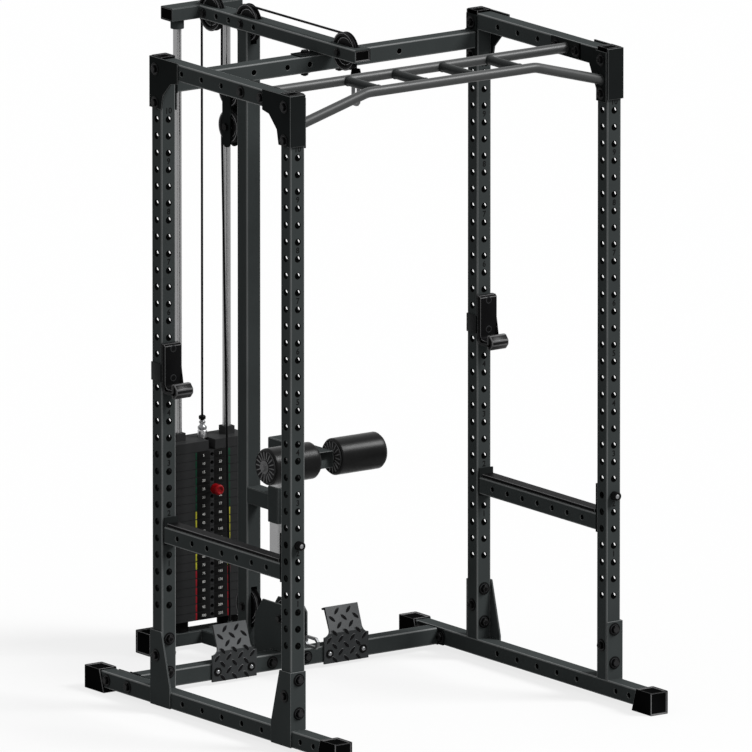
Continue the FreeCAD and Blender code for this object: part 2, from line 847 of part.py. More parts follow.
def bar_hook(x):
    """Steel J with a peg in the upright's front hole and a tab along its side."""
    back = inner_y
    face = back - hook_plate
    floor = hook_low + hook_plate
    lip = back - hook_reach
    outline = [(back, hook_high), (face, hook_high), (face, floor), (lip + hook_plate, floor),
               (lip + hook_plate, hook_low + hook_lip), (lip, hook_low + hook_lip), (lip, hook_low),
               (back, hook_low)]
    steel = sheet(span(x, hook_width), outline)
    peg = prism(hole_size - 2 * fit_gap, (x, back, hole_levels[hook_hole_count]), "y", peg_length)
    side = x - hook_width / 2
    tab = block((side, x - half), (face, outer_y + 2), (hook_tab_low, hook_tab_high))
    steel = steel.fuse([peg, tab])
    liner = block(span(x, hook_width), (face - hook_liner, face), (floor, hook_high))
    saddle = block(span(x, hook_width), (lip, face), (floor, floor + hook_saddle_liner))
    nose = (lip - hook_plate, lip - hook_plate + hook_cover)
    cover = block(span(x, hook_width), nose, (hook_low - hook_cover_wall, hook_low + hook_lip + hook_cover_wall))
    return [steel, liner.fuse([saddle, cover]).cut(steel)]


def safety_bar(x):
    """Tube between a front and a rear upright, with end plates and a peg in the rear one."""
    high = safety_low + tube_side
    run = inner_y - safety_plate
    bar = tube("y", span(x, tube_side), (-run, run), (safety_low, high))
    low = safety_low - safety_plate_low
    front = block(span(x, tube_side), (-inner_y, -run), (low, high + safety_front_rise))
    rear = block(span(x, tube_side), (run, inner_y), (low, high + safety_rear_rise))
    hole = prism(hole_size, (x, -inner_y - 1, hole_levels[pin_hole_count]), "y", 2 * safety_plate)
    peg = prism(hole_size - 2 * fit_gap, (x, run, hole_levels[peg_hole_count]), "y", peg_length)
    return bar.fuse([front.cut(hole), rear, peg])


def safety_liner(x):
    """Plastic strip on a safety bar."""
    high = safety_low + tube_side
    run = inner_y - 3 * safety_plate
    return block(span(x, safety_liner_width), (-run, run), (high, high + safety_liner_high))


def safety_pin(x):
    """Lock pin through the front upright into the safety bar's end plate."""
    face = -outer_y
    tip = -inner_y + 2 * safety_plate
    profile = [(face - safety_pin_grip, 0), (face - safety_pin_grip, safety_pin_head),
               (face, safety_pin_head), (face, safety_pin_radius), (tip, safety_pin_radius), (tip, 0)]
    return turned(profile, (x, 0, hole_levels[pin_hole_count]), "y")


# ---- leg roller

def roller_bracket():
    """Arm on the tower's post with the upright sleeve that holds the leg roller."""
    sleeve = block(span(0, sleeve_side), span(sleeve_y, sleeve_side), (sleeve_low, sleeve_high))
    rear = sleeve_y + sleeve_side / 2
    high = roller_arm_low + tube_side
    arm = tube("y", (-half, half), (rear, post_y - half), (roller_arm_low, high))
    boss = rod(knob_boss_radius, (0, sleeve_y, roller_arm_low), "x", sleeve_side / 2 + knob_boss)
    side = roller_post_side + 1
    room = block(span(0, side), span(sleeve_y, side), (sleeve_low, sleeve_high))
    hole = rod(knob_pin_radius + axle_fit, (0, sleeve_y, roller_arm_low), "x", sleeve_side)
    return bevelled(sleeve, "z", tube_bevel).fuse([arm, boss]).cut([room, hole])


def roller_post():
    """Chromed square post that slides in the sleeve."""
    side = span(0, roller_post_side)
    return tube("z", side, span(sleeve_y, roller_post_side), (roller_post_low, roller_post_high))


def roller_arm():
    """Cross arm on the post that carries the roller axle."""
    high = (roller_post_high, roller_post_high + tube_side)
    arm = tube("y", (-half, half), (arm_front, arm_rear), high)
    arm = arm.cut(rod(roller_axle_radius, (-tube_side, roller_y, axle_z), "x", 2 * tube_side))
    faces = ((arm_front, arm_front + tube_wall), (arm_rear - tube_wall, arm_rear))
    return [arm] + [tube_plug("y", (-half, half), y, high) for y in faces]


def roller_axle():
    """Axle of both rollers, with inner spacers and an end washer and bolt head on each side."""
    r = roller_axle_radius
    near = roller_inner - side_play
    far = roller_outer + side_play
    end = far + washer_thick
    right = [(half, r), (half, spacer_radius), (near, spacer_radius), (near, r),
             (far, r), (far, washer_radius), (end, washer_radius)]
    left = [(-h, radius) for h, radius in reversed(right)]
    shaft = turned([(-end, 0)] + left + right + [(end, 0)], (0, roller_y, axle_z), "x")
    heads = [prism(axle_across, (x, roller_y, axle_z), "x", axle_head) for x in (end, -end - axle_head)]
    return shaft.fuse(heads)


def foam_roller():
    """Foam sleeve with a spoked plastic cap at each end."""
    foam_ends = (roller_inner + roller_cap, roller_outer - roller_cap)
    foam = rod(roller_radius, (foam_ends[0], roller_y, axle_z), "x", foam_ends[1] - foam_ends[0])
    foam = foam.cut(rod(roller_bore, (0, roller_y, axle_z), "x", roller_outer))
    bore = roller_axle_radius + axle_fit
    caps = []
    for x in (roller_inner, roller_outer - roller_cap):
        disc = rod(roller_radius - roller_cap_step, (x, roller_y, axle_z), "x", roller_cap)
        caps.append(disc.cut(rod(bore, (x, roller_y, axle_z), "x", roller_cap)))
    return [foam] + caps


def sleeve_knob():
    """Sprung pull pin on the side of the sleeve."""
    face = sleeve_side / 2
    mouth = face + knob_boss
    profile = [(face - 2, 0), (face - 2, knob_pin_radius), (mouth, knob_pin_radius),
               (mouth, knob_grip_radius), (mouth + knob_grip, knob_grip_radius - 2), (mouth + knob_grip, 0)]
    return turned(profile, (0, sleeve_y, roller_arm_low), "x")


def main():
    os.makedirs("parts", exist_ok=True)
    sides = (("left", -1), ("right", 1))
    corners = [(sx, sy) for sx in (-1, 1) for sy in (-1, 1)]
    for name, sx in sides:
        save("upright_front_" + name, upright(sx * upright_x, -upright_y))
        save("upright_rear_" + name, upright(sx * upright_x, upright_y))
        save("safety_bar_" + name, safety_bar(sx * upright_x))
        save("safety_pin_" + name, safety_pin(sx * upright_x))
        save("bar_hook_" + name, *bar_hook(sx * upright_x))
    plugs = [upright_plug(sx * upright_x, sy * upright_y) for sx, sy in corners]
    boom_z = (boom_low, boom_high)
    sides_of_boom = span(0, tower_tube_wide)
    plugs.append(tube_plug("y", sides_of_boom, (boom_front, boom_front + plug_deep), boom_z))
    for _, sx in sides:
        x = ends(sx * crosspiece_half, sx * (crosspiece_half - plug_deep))
        plugs.append(tube_plug("x", x, (base_tube_front, base_tube_rear), boom_z))
    save("tube_plugs", *plugs)
    save("base_rails", *[base_rail(sx * upright_x) for _, sx in sides])
    save("top_rails", *[top_rail(sx * upright_x) for _, sx in sides])
    caps = [foot_cap(sx * upright_x, *end) for _, sx in sides for end in ((-rail_front, -1), (rail_rear, 1))]
    save("foot_caps", *caps, tower_cap(-1), tower_cap(1))
    save("base_brackets", *[base_bracket(sx, sy) for sx, sy in corners])
    save("top_brackets", *[top_bracket(sx, sy) for sx, sy in corners])
    save("base_crossbar", base_crossbar())
    save("top_crossbar", top_crossbar())
    front = front_grip()
    rear = rear_grip()
    save("grip_tubes", front, rear)
    save("grip_rungs", *[grip_rung(rung_pitch * (i - 1.5), front, rear) for i in range(4)])
    save("foot_plates", foot_plate(-foot_x), foot_plate(foot_x))
    save("frame_bolts", *frame_bolts())
    save("safety_liners", *[safety_liner(sx * upright_x) for _, sx in sides])

    save("tower_base", tower_base())
    save("tower_post", tower_post())
    save("boom", boom())
    save("crosspiece", crosspiece())
    save("row_cheeks", row_cheek(half), row_cheek(-half - plate))

    wheels = {"rear_pulley": (rear_pulley_y, top_pulley_z), "mid_pulley": (post_y, top_pulley_z),
              "front_pulley": (front_pulley_y, top_pulley_z), "low_pulley": (post_y, low_pulley_z),
              "row_pulley": (row_pulley_y, low_pulley_z)}
    for name, place in wheels.items():
        save(name, pulley(*place, pulley_radius, cable_turn))
    boom_half = tower_tube_wide / 2
    axles = [pulley_axle(y, top_pulley_z, boom_half) for y in (rear_pulley_y, post_y, front_pulley_y)]
    axles.append(pulley_axle(post_y, low_pulley_z, half))
    axles.append(pulley_axle(row_pulley_y, low_pulley_z, half + plate))
    save("pulley_axles", *axles)

    save("block_straps", strap(-1), strap(1), block_axle(block_low_z), block_axle(block_high_z))
    save("block_upper_pulley", pulley(block_y, block_high_z, block_pulley_radius, block_turn))
    save("block_lower_pulley", pulley(block_y, block_low_z, block_pulley_radius, block_turn))

    save("top_cable", *top_cable())
    save("low_cable", low_cable())
    save("block_cable_loops", *block_loops())
    save("stack_cable_run", cable(line((stack_run, fitting_top), (stack_run, top_pulley_z))))
    save("block_cable_runs", cable(line((rear_run, block_high_z), (rear_run, top_pulley_z))),
         cable(line((front_run, block_high_z), (front_run, top_pulley_z))))
    save("anchor_cable_run", cable(line((anchor_y, anchor_z), (rear_run, block_low_z))))
    save("low_cable_run", cable(line((front_run, low_pulley_z), (front_run, block_low_z))))
    link_z = lat_stop_z - stop_length
    save("lat_hook", cable_stop((0, lat_y, lat_stop_z), "z", -1), snap_link(lat_y, link_z, "z", -1))
    link_y = row_stop_y - stop_length
    save("row_hook", cable_stop((0, row_stop_y, low_line), "y", -1), snap_link(link_y, low_line, "y", -1))

    rod_length = boom_low - tower_top
    save("guide_rods", *[rod(rod_radius, (sx * rod_x, base_tube_y, tower_top), "z", rod_length)
                         for _, sx in sides])
    bores = rod_holes(rod_radius + rod_play, (tower_top, stack_low))
    buffers = [rod(buffer_radius, (sx * rod_x, base_tube_y, tower_top), "z", buffer_high) for _, sx in sides]
    save("stack_buffers", *[b.cut(bores) for b in buffers])
    resting = plate_count - lifted_count
    save("resting_plates", *[stack_plate(i) for i in range(resting)])
    save("lifted_plates", *[stack_plate(i) for i in range(resting, plate_count)])
    save("head_plate", head_plate())
    save("selector_rod", selector_rod())
    save("selector_pin", selector_pin())

    save("roller_bracket", roller_bracket())
    save("roller_post", roller_post())
    save("roller_arm", *roller_arm())
    save("roller_axle", roller_axle())
    right = foam_roller()
    save("foam_roller_right", *right)
    save("foam_roller_left", *[mirrored(s) for s in right])
    save("sleeve_knob", sleeve_knob())


main()
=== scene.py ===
# %% [markdown]
# # A power cage with a cable tower
# The cage is a welded and bolted frame of square steel tube. Two base rails carry four
# drilled uprights, two bar hooks and two safety bars stand in their holes, and a tower with a
# weight stack, seven pulleys and two cables stands behind.
# The CAD part gives every size and every body that moves. This file gives the looks: it reads
# where a piece is, builds a finer one in the same place and ties it to the same body.

# %% Load the fixed frame
import bmesh
import bpy
import math
import random
from mathutils import Matrix, Vector


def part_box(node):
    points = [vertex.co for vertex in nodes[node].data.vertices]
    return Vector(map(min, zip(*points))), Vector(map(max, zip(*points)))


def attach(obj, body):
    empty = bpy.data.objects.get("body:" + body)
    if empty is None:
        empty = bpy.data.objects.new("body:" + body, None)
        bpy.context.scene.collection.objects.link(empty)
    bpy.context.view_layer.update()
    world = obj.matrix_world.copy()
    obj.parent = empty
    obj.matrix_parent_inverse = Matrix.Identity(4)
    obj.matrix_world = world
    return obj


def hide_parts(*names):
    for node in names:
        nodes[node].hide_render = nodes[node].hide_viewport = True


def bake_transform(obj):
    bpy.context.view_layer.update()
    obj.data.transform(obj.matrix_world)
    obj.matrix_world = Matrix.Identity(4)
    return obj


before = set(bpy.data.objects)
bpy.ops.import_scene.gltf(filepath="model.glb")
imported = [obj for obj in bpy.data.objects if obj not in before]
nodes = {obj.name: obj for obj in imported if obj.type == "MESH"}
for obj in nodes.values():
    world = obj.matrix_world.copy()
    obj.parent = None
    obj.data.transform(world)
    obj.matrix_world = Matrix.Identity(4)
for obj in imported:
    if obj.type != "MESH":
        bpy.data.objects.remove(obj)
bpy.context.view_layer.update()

# %% [markdown]
# ## Sizes that repeat
# All lengths are metres. The rolled tube, the drilled holes and the bolts come back on many
# pieces, so each has one name here. Everything that the CAD part already knows is read from
# the box round its node instead.

# %% Tube, hole and bolt sizes
mm = 0.001
tube_wall = 3 * mm
tube_corner = 4 * mm
hole_radius = 8.5 * mm
hole_pitch = 50 * mm
hole_count = 30
first_hole = 315 * mm
LEFT_RIGHT = (("left", -1), ("right", 1))


def middle(node):
    """The centre of a node's box."""
    low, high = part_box(node)
    return (low + high) / 2


cage_y = (middle("upright_front_left").y + middle("upright_rear_left").y) / 2
levels = [first_hole + hole_pitch * k for k in range(hole_count)]
print("cage middle y:", round(cage_y, 4), "holes per face:", len(levels))

# %% [markdown]
# ## Shader sums that read like sums
# A finish is a small graph of nodes. Blender's own way to write it takes three lines for one
# sum. `Wire` wraps one output, so that `0.2 + 0.5 * grain` makes the nodes by itself, and
# `Finish` owns the material with one method for every other kind of node.

# %% Wires and finishes
class Wire:
    """One output of a node in a finish, with plain arithmetic."""

    def __init__(self, finish, output):
        self.finish = finish
        self.output = output

    def sum(self, operation, first, second):
        settings = {"operation": operation}
        return self.finish.node("ShaderNodeMath", settings, {0: first, 1: second})

    def __add__(self, other):
        return self.sum("ADD", self, other)

    def __radd__(self, other):
        return self.sum("ADD", other, self)

    def __sub__(self, other):
        return self.sum("SUBTRACT", self, other)

    def __rsub__(self, other):
        return self.sum("SUBTRACT", other, self)

    def __mul__(self, other):
        return self.sum("MULTIPLY", self, other)

    def __rmul__(self, other):
        return self.sum("MULTIPLY", other, self)


class Finish:
    """A material, with one method that adds any node and one that sets the surface."""

    def __init__(self, name):
        self.material = bpy.data.materials.new(name)
        self.material.use_nodes = True
        self.tree = self.material.node_tree
        self.shader = self.tree.nodes["Principled BSDF"]

    def plug(self, socket, value):
        if isinstance(value, Wire):
            self.tree.links.new(value.output, socket)
        else:
            socket.default_value = value

    def node(self, kind, settings=None, inputs=None, take=0):
        made = self.tree.nodes.new(kind)
        for name, value in (settings or {}).items():
            setattr(made, name, value)
        for name, value in (inputs or {}).items():
            self.plug(made.inputs[name], value)
        return Wire(self, made.outputs[take])

    def surface(self, **inputs):
        for name, value in inputs.items():
            self.plug(self.shader.inputs[name.replace("_", " ")], value)
        return self.material


print("finishes can be mixed")

# %% [markdown]
# ## Patterns that the finishes share
# Paint, plastic and rubber are never quite even. Three patterns do most of the work: grain
# from a noise that lies in the piece's own space, so it moves with the piece; a mix of two
# tones; and a shallow relief that only bends the light. The bevel along an edge simply gets a
# finish of its own, mostly a lighter one that is a painted highlight.

# %% Grain, tone and relief
def grain(finish, scale, detail=3.0, stretch=(1, 1, 1)):
    """Noise from 0 to 1 in the piece's own space; scale is in cells per metre."""
    place = finish.node("ShaderNodeTexCoord", take="Object")
    place = finish.node("ShaderNodeMapping", None, {"Vector": place, "Scale": stretch})
    inputs = {"Vector": place, "Scale": scale, "Detail": detail}
    return finish.node("ShaderNodeTexNoise", None, inputs)


def tones(finish, dark, light, share):
    """Mix of two colours by a wire from 0 to 1."""
    inputs = {"Factor": share, 6: (*dark, 1), 7: (*light, 1)}
    return finish.node("ShaderNodeMix", {"data_type": "RGBA"}, inputs, take=2)


def relief(finish, height, depth, strength=1.0):
    """Bump whose height is a wire from 0 to 1 times a depth in metres."""
    inputs = {"Height": height, "Distance": depth, "Strength": strength}
    return finish.node("ShaderNodeBump", None, inputs)


def spread(finish, value, low, high):
    """Wire stretched so that low becomes 0 and high becomes 1, and held there."""
    inputs = {"Value": value, "From Min": low, "From Max": high}
    return finish.node("ShaderNodeMapRange", {"clamp": True}, inputs)


print("patterns ready")

# %% [markdown]
# ## Paint on the steel
# The frame has a charcoal powder coat. The powder melts into a skin with a fine orange peel,
# a little lighter where it is thin and a little duller where hands and dust touch it. Three
# noises of different size give the three things: peel in the relief, clouds in the roughness
# and fine specks in the colour. A clear coat isn't needed, since the paint is almost matt.

# %% Painted steels
def powder_coat(name, dark, light, roughness, sheen, metallic=0.0):
    """Powder paint between two close tones; sheen is how much it mirrors."""
    finish = Finish(name)
    clouds = grain(finish, 9, 4)
    specks = grain(finish, 1400, 2)
    peel = grain(finish, 620, 1.5)
    share = spread(finish, 0.55 * clouds + 0.45 * specks, 0.35, 0.65)
    return finish.surface(
        Base_Color=tones(finish, dark, light, share),
        Roughness=roughness + 0.16 * (clouds - 0.5) + 0.05 * (specks - 0.5),
        Metallic=metallic,
        Specular_IOR_Level=sheen,
        Normal=relief(finish, peel, 0.05 * mm, 0.35))


frame_paint = powder_coat(
    "charcoal_powder_coat", (0.031, 0.035, 0.035), (0.037, 0.042, 0.042), 0.5, 0.001)
# Lighter finish for rounded edges, bevels and the rails' hole lips: a painted highlight.
frame_edge_highlight = powder_coat(
    "charcoal_painted_edge_highlight", (0.09, 0.095, 0.095), (0.12, 0.125, 0.125), 0.4, 0.1)
bracket_paint = powder_coat(
    "bracket_powder_coat", (0.0085, 0.0095, 0.0095), (0.011, 0.0125, 0.0125), 0.5, 0.001)
# Lighter finish for the brackets' softened edges, a painted highlight.
bracket_edge_highlight = powder_coat(
    "bracket_painted_edge_highlight", (0.06, 0.063, 0.063), (0.09, 0.093, 0.093), 0.4, 0.08)
# Near-black finish for the lips and walls of the uprights' holes, a painted shade that darkens
# them.
hole_painted_shade = powder_coat(
    "painted_shade_in_holes", (0.002, 0.002, 0.002), (0.004, 0.004, 0.004), 0.6, 0.01)
grip_paint = powder_coat(
    "grip_silver_grey", (0.026, 0.0275, 0.0275), (0.033, 0.0345, 0.0345), 0.42, 0.3)
rung_paint = powder_coat("rung_charcoal", (0.016, 0.018, 0.018), (0.022, 0.024, 0.024), 0.4, 0.05)
hook_paint = powder_coat(
    "hook_dark_steel", (0.01, 0.0105, 0.011), (0.015, 0.016, 0.0165), 0.42, 0.03)
print("painted steels ready")

# %% [markdown]
# ## Plastics and rubbers
# End caps, plugs, liners and pulleys are moulded black plastic. A mould leaves a fine spark
# texture, which is a noise used twice: as relief and, weaker, in the roughness. Rubber is the
# same idea with coarser grain and almost no shine. Foam has closed cells, so its relief comes
# from a cell pattern instead of a noise.

# %% Moulded plastics, rubber and foam
def moulded(name, dark, light, roughness, scale=2600, depth=0.04 * mm, sheen=0.1):
    """Plastic or rubber out of a textured mould."""
    finish = Finish(name)
    spark = grain(finish, scale, 2)
    clouds = grain(finish, 14, 3)
    share = spread(finish, 0.5 * clouds + 0.5 * spark, 0.35, 0.65)
    return finish.surface(
        Base_Color=tones(finish, dark, light, share),
        Roughness=roughness + 0.14 * (clouds - 0.5) + 0.08 * (spark - 0.5),
        Specular_IOR_Level=sheen,
        Normal=relief(finish, spark, depth, 0.4))


def foam_skin(name, dark, light):
    """Closed cell foam: small round cells under a skin with a faint shine."""
    finish = Finish(name)
    place = finish.node("ShaderNodeTexCoord", take="Object")
    cells = finish.node("ShaderNodeTexVoronoi", None, {"Vector": place, "Scale": 900})
    clouds = grain(finish, 22, 3)
    return finish.surface(
        Base_Color=tones(finish, dark, light, 0.6 * clouds + 0.4 * cells),
        Roughness=0.33 + 0.1 * (clouds - 0.5),
        Specular_IOR_Level=0.12,
        Normal=relief(finish, cells, 0.1 * mm, 0.15))


cap_plastic = moulded(
    "cap_black_plastic", (0.002, 0.002, 0.0021), (0.0035, 0.0035, 0.0036), 0.5, sheen=0.0)
horn_plastic = moulded(
    "horn_glossy_plastic", (0.005, 0.005, 0.0052), (0.008, 0.008, 0.0083), 0.3, sheen=0.06)
liner_plastic = moulded(
    "liner_black_plastic", (0.003, 0.003, 0.0032), (0.006, 0.006, 0.0063), 0.42, sheen=0.01)
nylon = moulded("pulley_nylon", (0.006, 0.006, 0.0063), (0.011, 0.011, 0.0115), 0.36, sheen=0.03)
buffer_rubber = moulded(
    "buffer_rubber", (0.004, 0.004, 0.004), (0.008, 0.008, 0.008), 0.62, 1500, sheen=0.01)
knob_red = moulded("knob_red_plastic", (0.16, 0.002, 0.004), (0.22, 0.004, 0.006), 0.28, sheen=0.08)
# Grey finish for the softened edges of black plastic, a painted highlight.
cap_edge_highlight = moulded("cap_painted_edge_highlight", (0.07, 0.07, 0.071), (0.11, 0.11, 0.111), 0.3, sheen=0.08)
roller_foam = foam_skin("roller_foam_black", (0.001, 0.001, 0.001), (0.003, 0.003, 0.0031))
print("plastics ready")

# %% [markdown]
# ## Bare and plated metals
# Guide rods and the roller post are chromed, bolts are blackened, and a few washers are zinc.
# Polished rods are ground round, so their fine scratches run across the length: a noise that
# is squeezed along the rod. The black oxide of the bolts hides the steel, so those two
# finishes aren't metallic.

# %% Chrome, zinc and blackened steel
def plated(name, dark, light, roughness, stretch=(1, 1, 1), metallic=1.0, depth=0.01 * mm):
    """Metal with a fine, one-way scratch pattern."""
    finish = Finish(name)
    scratches = grain(finish, 240, 2, stretch)
    clouds = grain(finish, 18, 3)
    return finish.surface(
        Base_Color=tones(finish, dark, light, spread(finish, clouds, 0.3, 0.7)),
        Roughness=roughness + 0.04 * (scratches - 0.5) + 0.08 * (clouds - 0.5),
        Metallic=metallic,
        Specular_IOR_Level=0.04,
        Normal=relief(finish, scratches, depth, 0.08))


rod_chrome = plated(
    "rod_chrome", (0.27, 0.27, 0.272), (0.29, 0.29, 0.292), 0.26, (1, 1, 0.2), depth=0.0002 * mm)
sleeve_chrome = plated("sleeve_bright_chrome", (0.45, 0.45, 0.455), (0.55, 0.55, 0.555), 0.3)
zinc = plated("zinc_plate", (0.16, 0.164, 0.168), (0.24, 0.244, 0.248), 0.34)
# Grey of the roller hubs, and a painted highlight on the crowns of the hex heads.
hub_grey_and_crown_highlight = plated("hub_grey_and_painted_crown_highlight", (0.016, 0.016, 0.0165), (0.024, 0.024, 0.0245), 0.3, metallic=0)
link_steel = plated("link_steel", (0.08, 0.082, 0.084), (0.12, 0.122, 0.124), 0.34)
bolt_black = plated(
    "bolt_black_oxide", (0.002, 0.002, 0.0022), (0.004, 0.004, 0.0042), 0.34, metallic=0)
print("metals ready")

# %% [markdown]
# ## Iron, steel sheet and painted highlights
# The stack's plates, the tread and the roller's ribs are painted or oiled rather than plated,
# so they use the powder coat with their own tones. A few of these finishes are painted
# highlights on narrow places: the rim of a washer and the rims of the tread's raised lozenges.
# The leaning upper face of the tread is painted lighter as well, for a face that looks up.

# %% Iron and painted highlights
stack_iron = powder_coat(
    "stack_black_iron", (0.023, 0.0235, 0.024), (0.029, 0.0295, 0.03), 0.42, 0.004)
stack_gap = powder_coat("stack_dark_joint", (0.002, 0.002, 0.002), (0.004, 0.004, 0.004), 0.6, 0.02)
# Lighter finish for washer rings, screw collars and the hook's edges, a painted highlight.
dark_edge_highlight = powder_coat("dark_painted_edge_highlight", (0.022, 0.023, 0.024), (0.032, 0.033, 0.034), 0.3, 0.05)
rib_grey = powder_coat("roller_rib_grey", (0.11, 0.11, 0.112), (0.16, 0.16, 0.162), 0.34, 0.05)
roller_cap = moulded(
    "roller_cap_plastic", (0.02, 0.02, 0.0205), (0.032, 0.032, 0.0325), 0.5, sheen=0.0)
# Lighter finish for the leaning upper face of the foot plates, painted light for a face that looks
# up.
tread_painted_light = powder_coat("tread_painted_light_leaning_face", (0.075, 0.078, 0.08), (0.1, 0.103, 0.105), 0.38, 0.03)
rib_silver = powder_coat(
    "rib_silver_grey", (0.16, 0.16, 0.165), (0.24, 0.24, 0.245), 0.3, 0.15, metallic=0.1)
tread_steel = powder_coat(
    "tread_grey_steel", (0.028, 0.03, 0.031), (0.038, 0.04, 0.041), 0.38, 0.03)
lozenge_steel = powder_coat(
    "tread_dark_lozenges", (0.004, 0.004, 0.0045), (0.007, 0.007, 0.0075), 0.3, 0.03)
# Lighter finish for the lozenges' rims, a painted highlight.
lozenge_rim_highlight = powder_coat("tread_painted_rim_highlights", (0.07, 0.072, 0.074), (0.1, 0.103, 0.105), 0.34, 0.1)
print("iron and worn places ready")

# %% [markdown]
# ## The cable's jacket
# The cable is a steel rope in a black nylon jacket that still shows the strands a little. A
# wave pattern along the cable, set at a slant, gives the twist of the rope.

# %% Cable jacket
def cable_jacket():
    finish = Finish("cable_black_jacket")
    place = finish.node("ShaderNodeTexCoord", take="Object")
    settings = {"wave_type": "BANDS", "bands_direction": "DIAGONAL"}
    inputs = {"Vector": place, "Scale": 120, "Distortion": 0.4}
    twist = finish.node("ShaderNodeTexWave", settings, inputs)
    clouds = grain(finish, 30, 2)
    share = 0.5 * twist + 0.5 * clouds
    return finish.surface(
        Base_Color=tones(finish, (0.003, 0.003, 0.0035), (0.008, 0.008, 0.0085), share),
        Roughness=0.4 + 0.12 * (clouds - 0.5),
        Specular_IOR_Level=0.03,
        Normal=relief(finish, twist, 0.2 * mm, 0.4))


cable_coat = cable_jacket()
print("cable jacket ready")

# %% [markdown]
# ## One way to hand in a mesh
# Every piece ends the same way: it becomes an object, shows its finish, rides on a body and
# hides the CAD node it stands for. `Skin` gathers corners, faces and, where asked, the exact
# normal of each corner. `hand_in` takes a skin, or one of Blender's own editable meshes, and
# does the rest.

# %% Gathering a mesh
class Skin:
    """Points and faces of one mesh; points in the same place are shared."""

    def __init__(self):
        self.points = []
        self.faces = []
        self.normals = []
        self.finishes = []
        self.found = {}

    def point(self, place):
        key = tuple(round(value * 1e6) for value in place)
        if key not in self.found:
            self.found[key] = len(self.points)
            self.points.append(tuple(place))
        return self.found[key]

    def face(self, corners, normals=None, finish=0):
        """A face; it is turned over if it doesn't look the way of its normals."""
        indices = [self.point(corner) for corner in corners]
        if len(set(indices)) < len(indices):
            keep = [k for k in range(len(indices)) if indices[k] != indices[k - 1]]
            if len(keep) < 3:
                return
            indices = [indices[k] for k in keep]
            corners = [corners[k] for k in keep]
            if isinstance(normals, list):
                normals = [normals[k] for k in keep]
        if normals is not None and not isinstance(normals, list):
            normals = [normals] * len(indices)
        if normals is not None:
            a, b, c = (Vector(corners[k]) for k in (0, 1, 2))
            if (b - a).cross(c - b).dot(sum((Vector(n) for n in normals), Vector())) < 0:
                indices.reverse()
                normals = normals[::-1]
            self.normals += [tuple(n) for n in normals]
        self.faces.append(indices)
        self.finishes.append(finish)

    def sew(self, rings, finish=0):
        """Faces between each ring of points and the next."""
        for a, b in zip(rings, rings[1:]):
            for k in range(len(a)):
                self.face([a[k - 1], a[k], b[k], b[k - 1]], finish=finish)


def mesh_of(name, shape, sharp):
    """Mesh of a Skin or a bmesh, smooth except where it turns by more than sharp degrees."""
    mesh = bpy.data.meshes.new(name)
    normals = ()
    if isinstance(shape, Skin):
        mesh.from_pydata(shape.points, [], shape.faces)
        mesh.polygons.foreach_set("material_index", shape.finishes)
        normals = shape.normals
    else:
        shape.to_mesh(mesh)
        shape.free()
    mesh.polygons.foreach_set("use_smooth", [True] * len(mesh.polygons))
    if normals:
        mesh.normals_split_custom_set(normals)
    else:
        mesh.set_sharp_from_angle(angle=math.radians(sharp))
    return mesh


def listed(material):
    """One finish or several, as a tuple."""
    return material if isinstance(material, tuple) else (material,)


def hand_in(name, shape, material, body="frame", stands_for=None, sharp=35):
    """The shape as a piece of the cage, in its finishes, on its body and for its node."""
    mesh = mesh_of(name, shape, sharp)
    piece = bpy.data.objects.new(name, mesh)
    bpy.context.scene.collection.objects.link(piece)
    for one in listed(material):
        mesh.materials.append(one)
    if body:
        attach(piece, body)
    if stands_for:
        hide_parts(stands_for)
    return piece


print("pieces can be handed in")

# %% [markdown]
# ## Drilled tube
# The frame is rolled tube with a row of punched holes in each wall, and daylight shows through
# where two rows cross. A boolean for four hundred holes is slow and leaves poor shading, so
# each wall is laid out by hand: a square patch round each hole, plain strips between, and a
# small rolled lip at the rim. Since the shape is known, every corner also gets its exact
# normal, and the rounded edges of the tube need only five strips.

# %% Directions, and the sides of a hole
HOLE_SIDES = 24
LIP_DEPTH = 0.6 * mm


def toward(axis, sign=1):
    """Unit vector along an axis."""
    return Vector([sign if i == axis else 0 for i in range(3)])


def across(axis):
    """The two axes that are square to an axis."""
    return [i for i in range(3) if i != axis]


def square_point(angle, reach):
    """Where a ray from the middle of a square leaves it."""
    c, s = math.cos(angle), math.sin(angle)
    far = reach / max(abs(c), abs(s))
    return far * c, far * s


def hole_steps():
    """The two angles of each side of a hole."""
    turns = [math.tau * k / HOLE_SIDES for k in range(HOLE_SIDES + 1)]
    return zip(turns, turns[1:])


print("a hole has", HOLE_SIDES, "sides")

# %% A wall with holes and slots
def wall_skin(skin, place, facing, ends, reach, holes, slots, rim):
    """Flat skin of one wall. place(s, t, depth) is a point s along the tube, t across it."""

    def patch(s0, s1, t0, t1):
        corners = ((s0, t0), (s1, t0), (s1, t1), (s0, t1))
        skin.face([place(s, t, 0) for s, t in corners], facing)

    lip = hole_radius + rim
    stretches = [(s - reach, s + reach, s, 0) for s in holes]
    stretches += [(low, high, None, half) for low, high, half in slots]
    along = ends[0]
    for low, high, centre, half in sorted(stretches, key=lambda item: item[0]):
        if low > along + 1e-6:
            patch(along, low, -reach, reach)
        along = high
        if centre is None:
            patch(low, high, -reach, -half)
            patch(low, high, half, reach)
            continue
        for angles in hole_steps():
            square = [square_point(a, reach) for a in angles]
            circle = [(lip * math.cos(a), lip * math.sin(a)) for a in angles]
            corners = [square[0], square[1], circle[1], circle[0]]
            skin.face([place(centre + s, t, 0) for s, t in corners], facing)
    if ends[1] > along + 1e-6:
        patch(along, ends[1], -reach, reach)


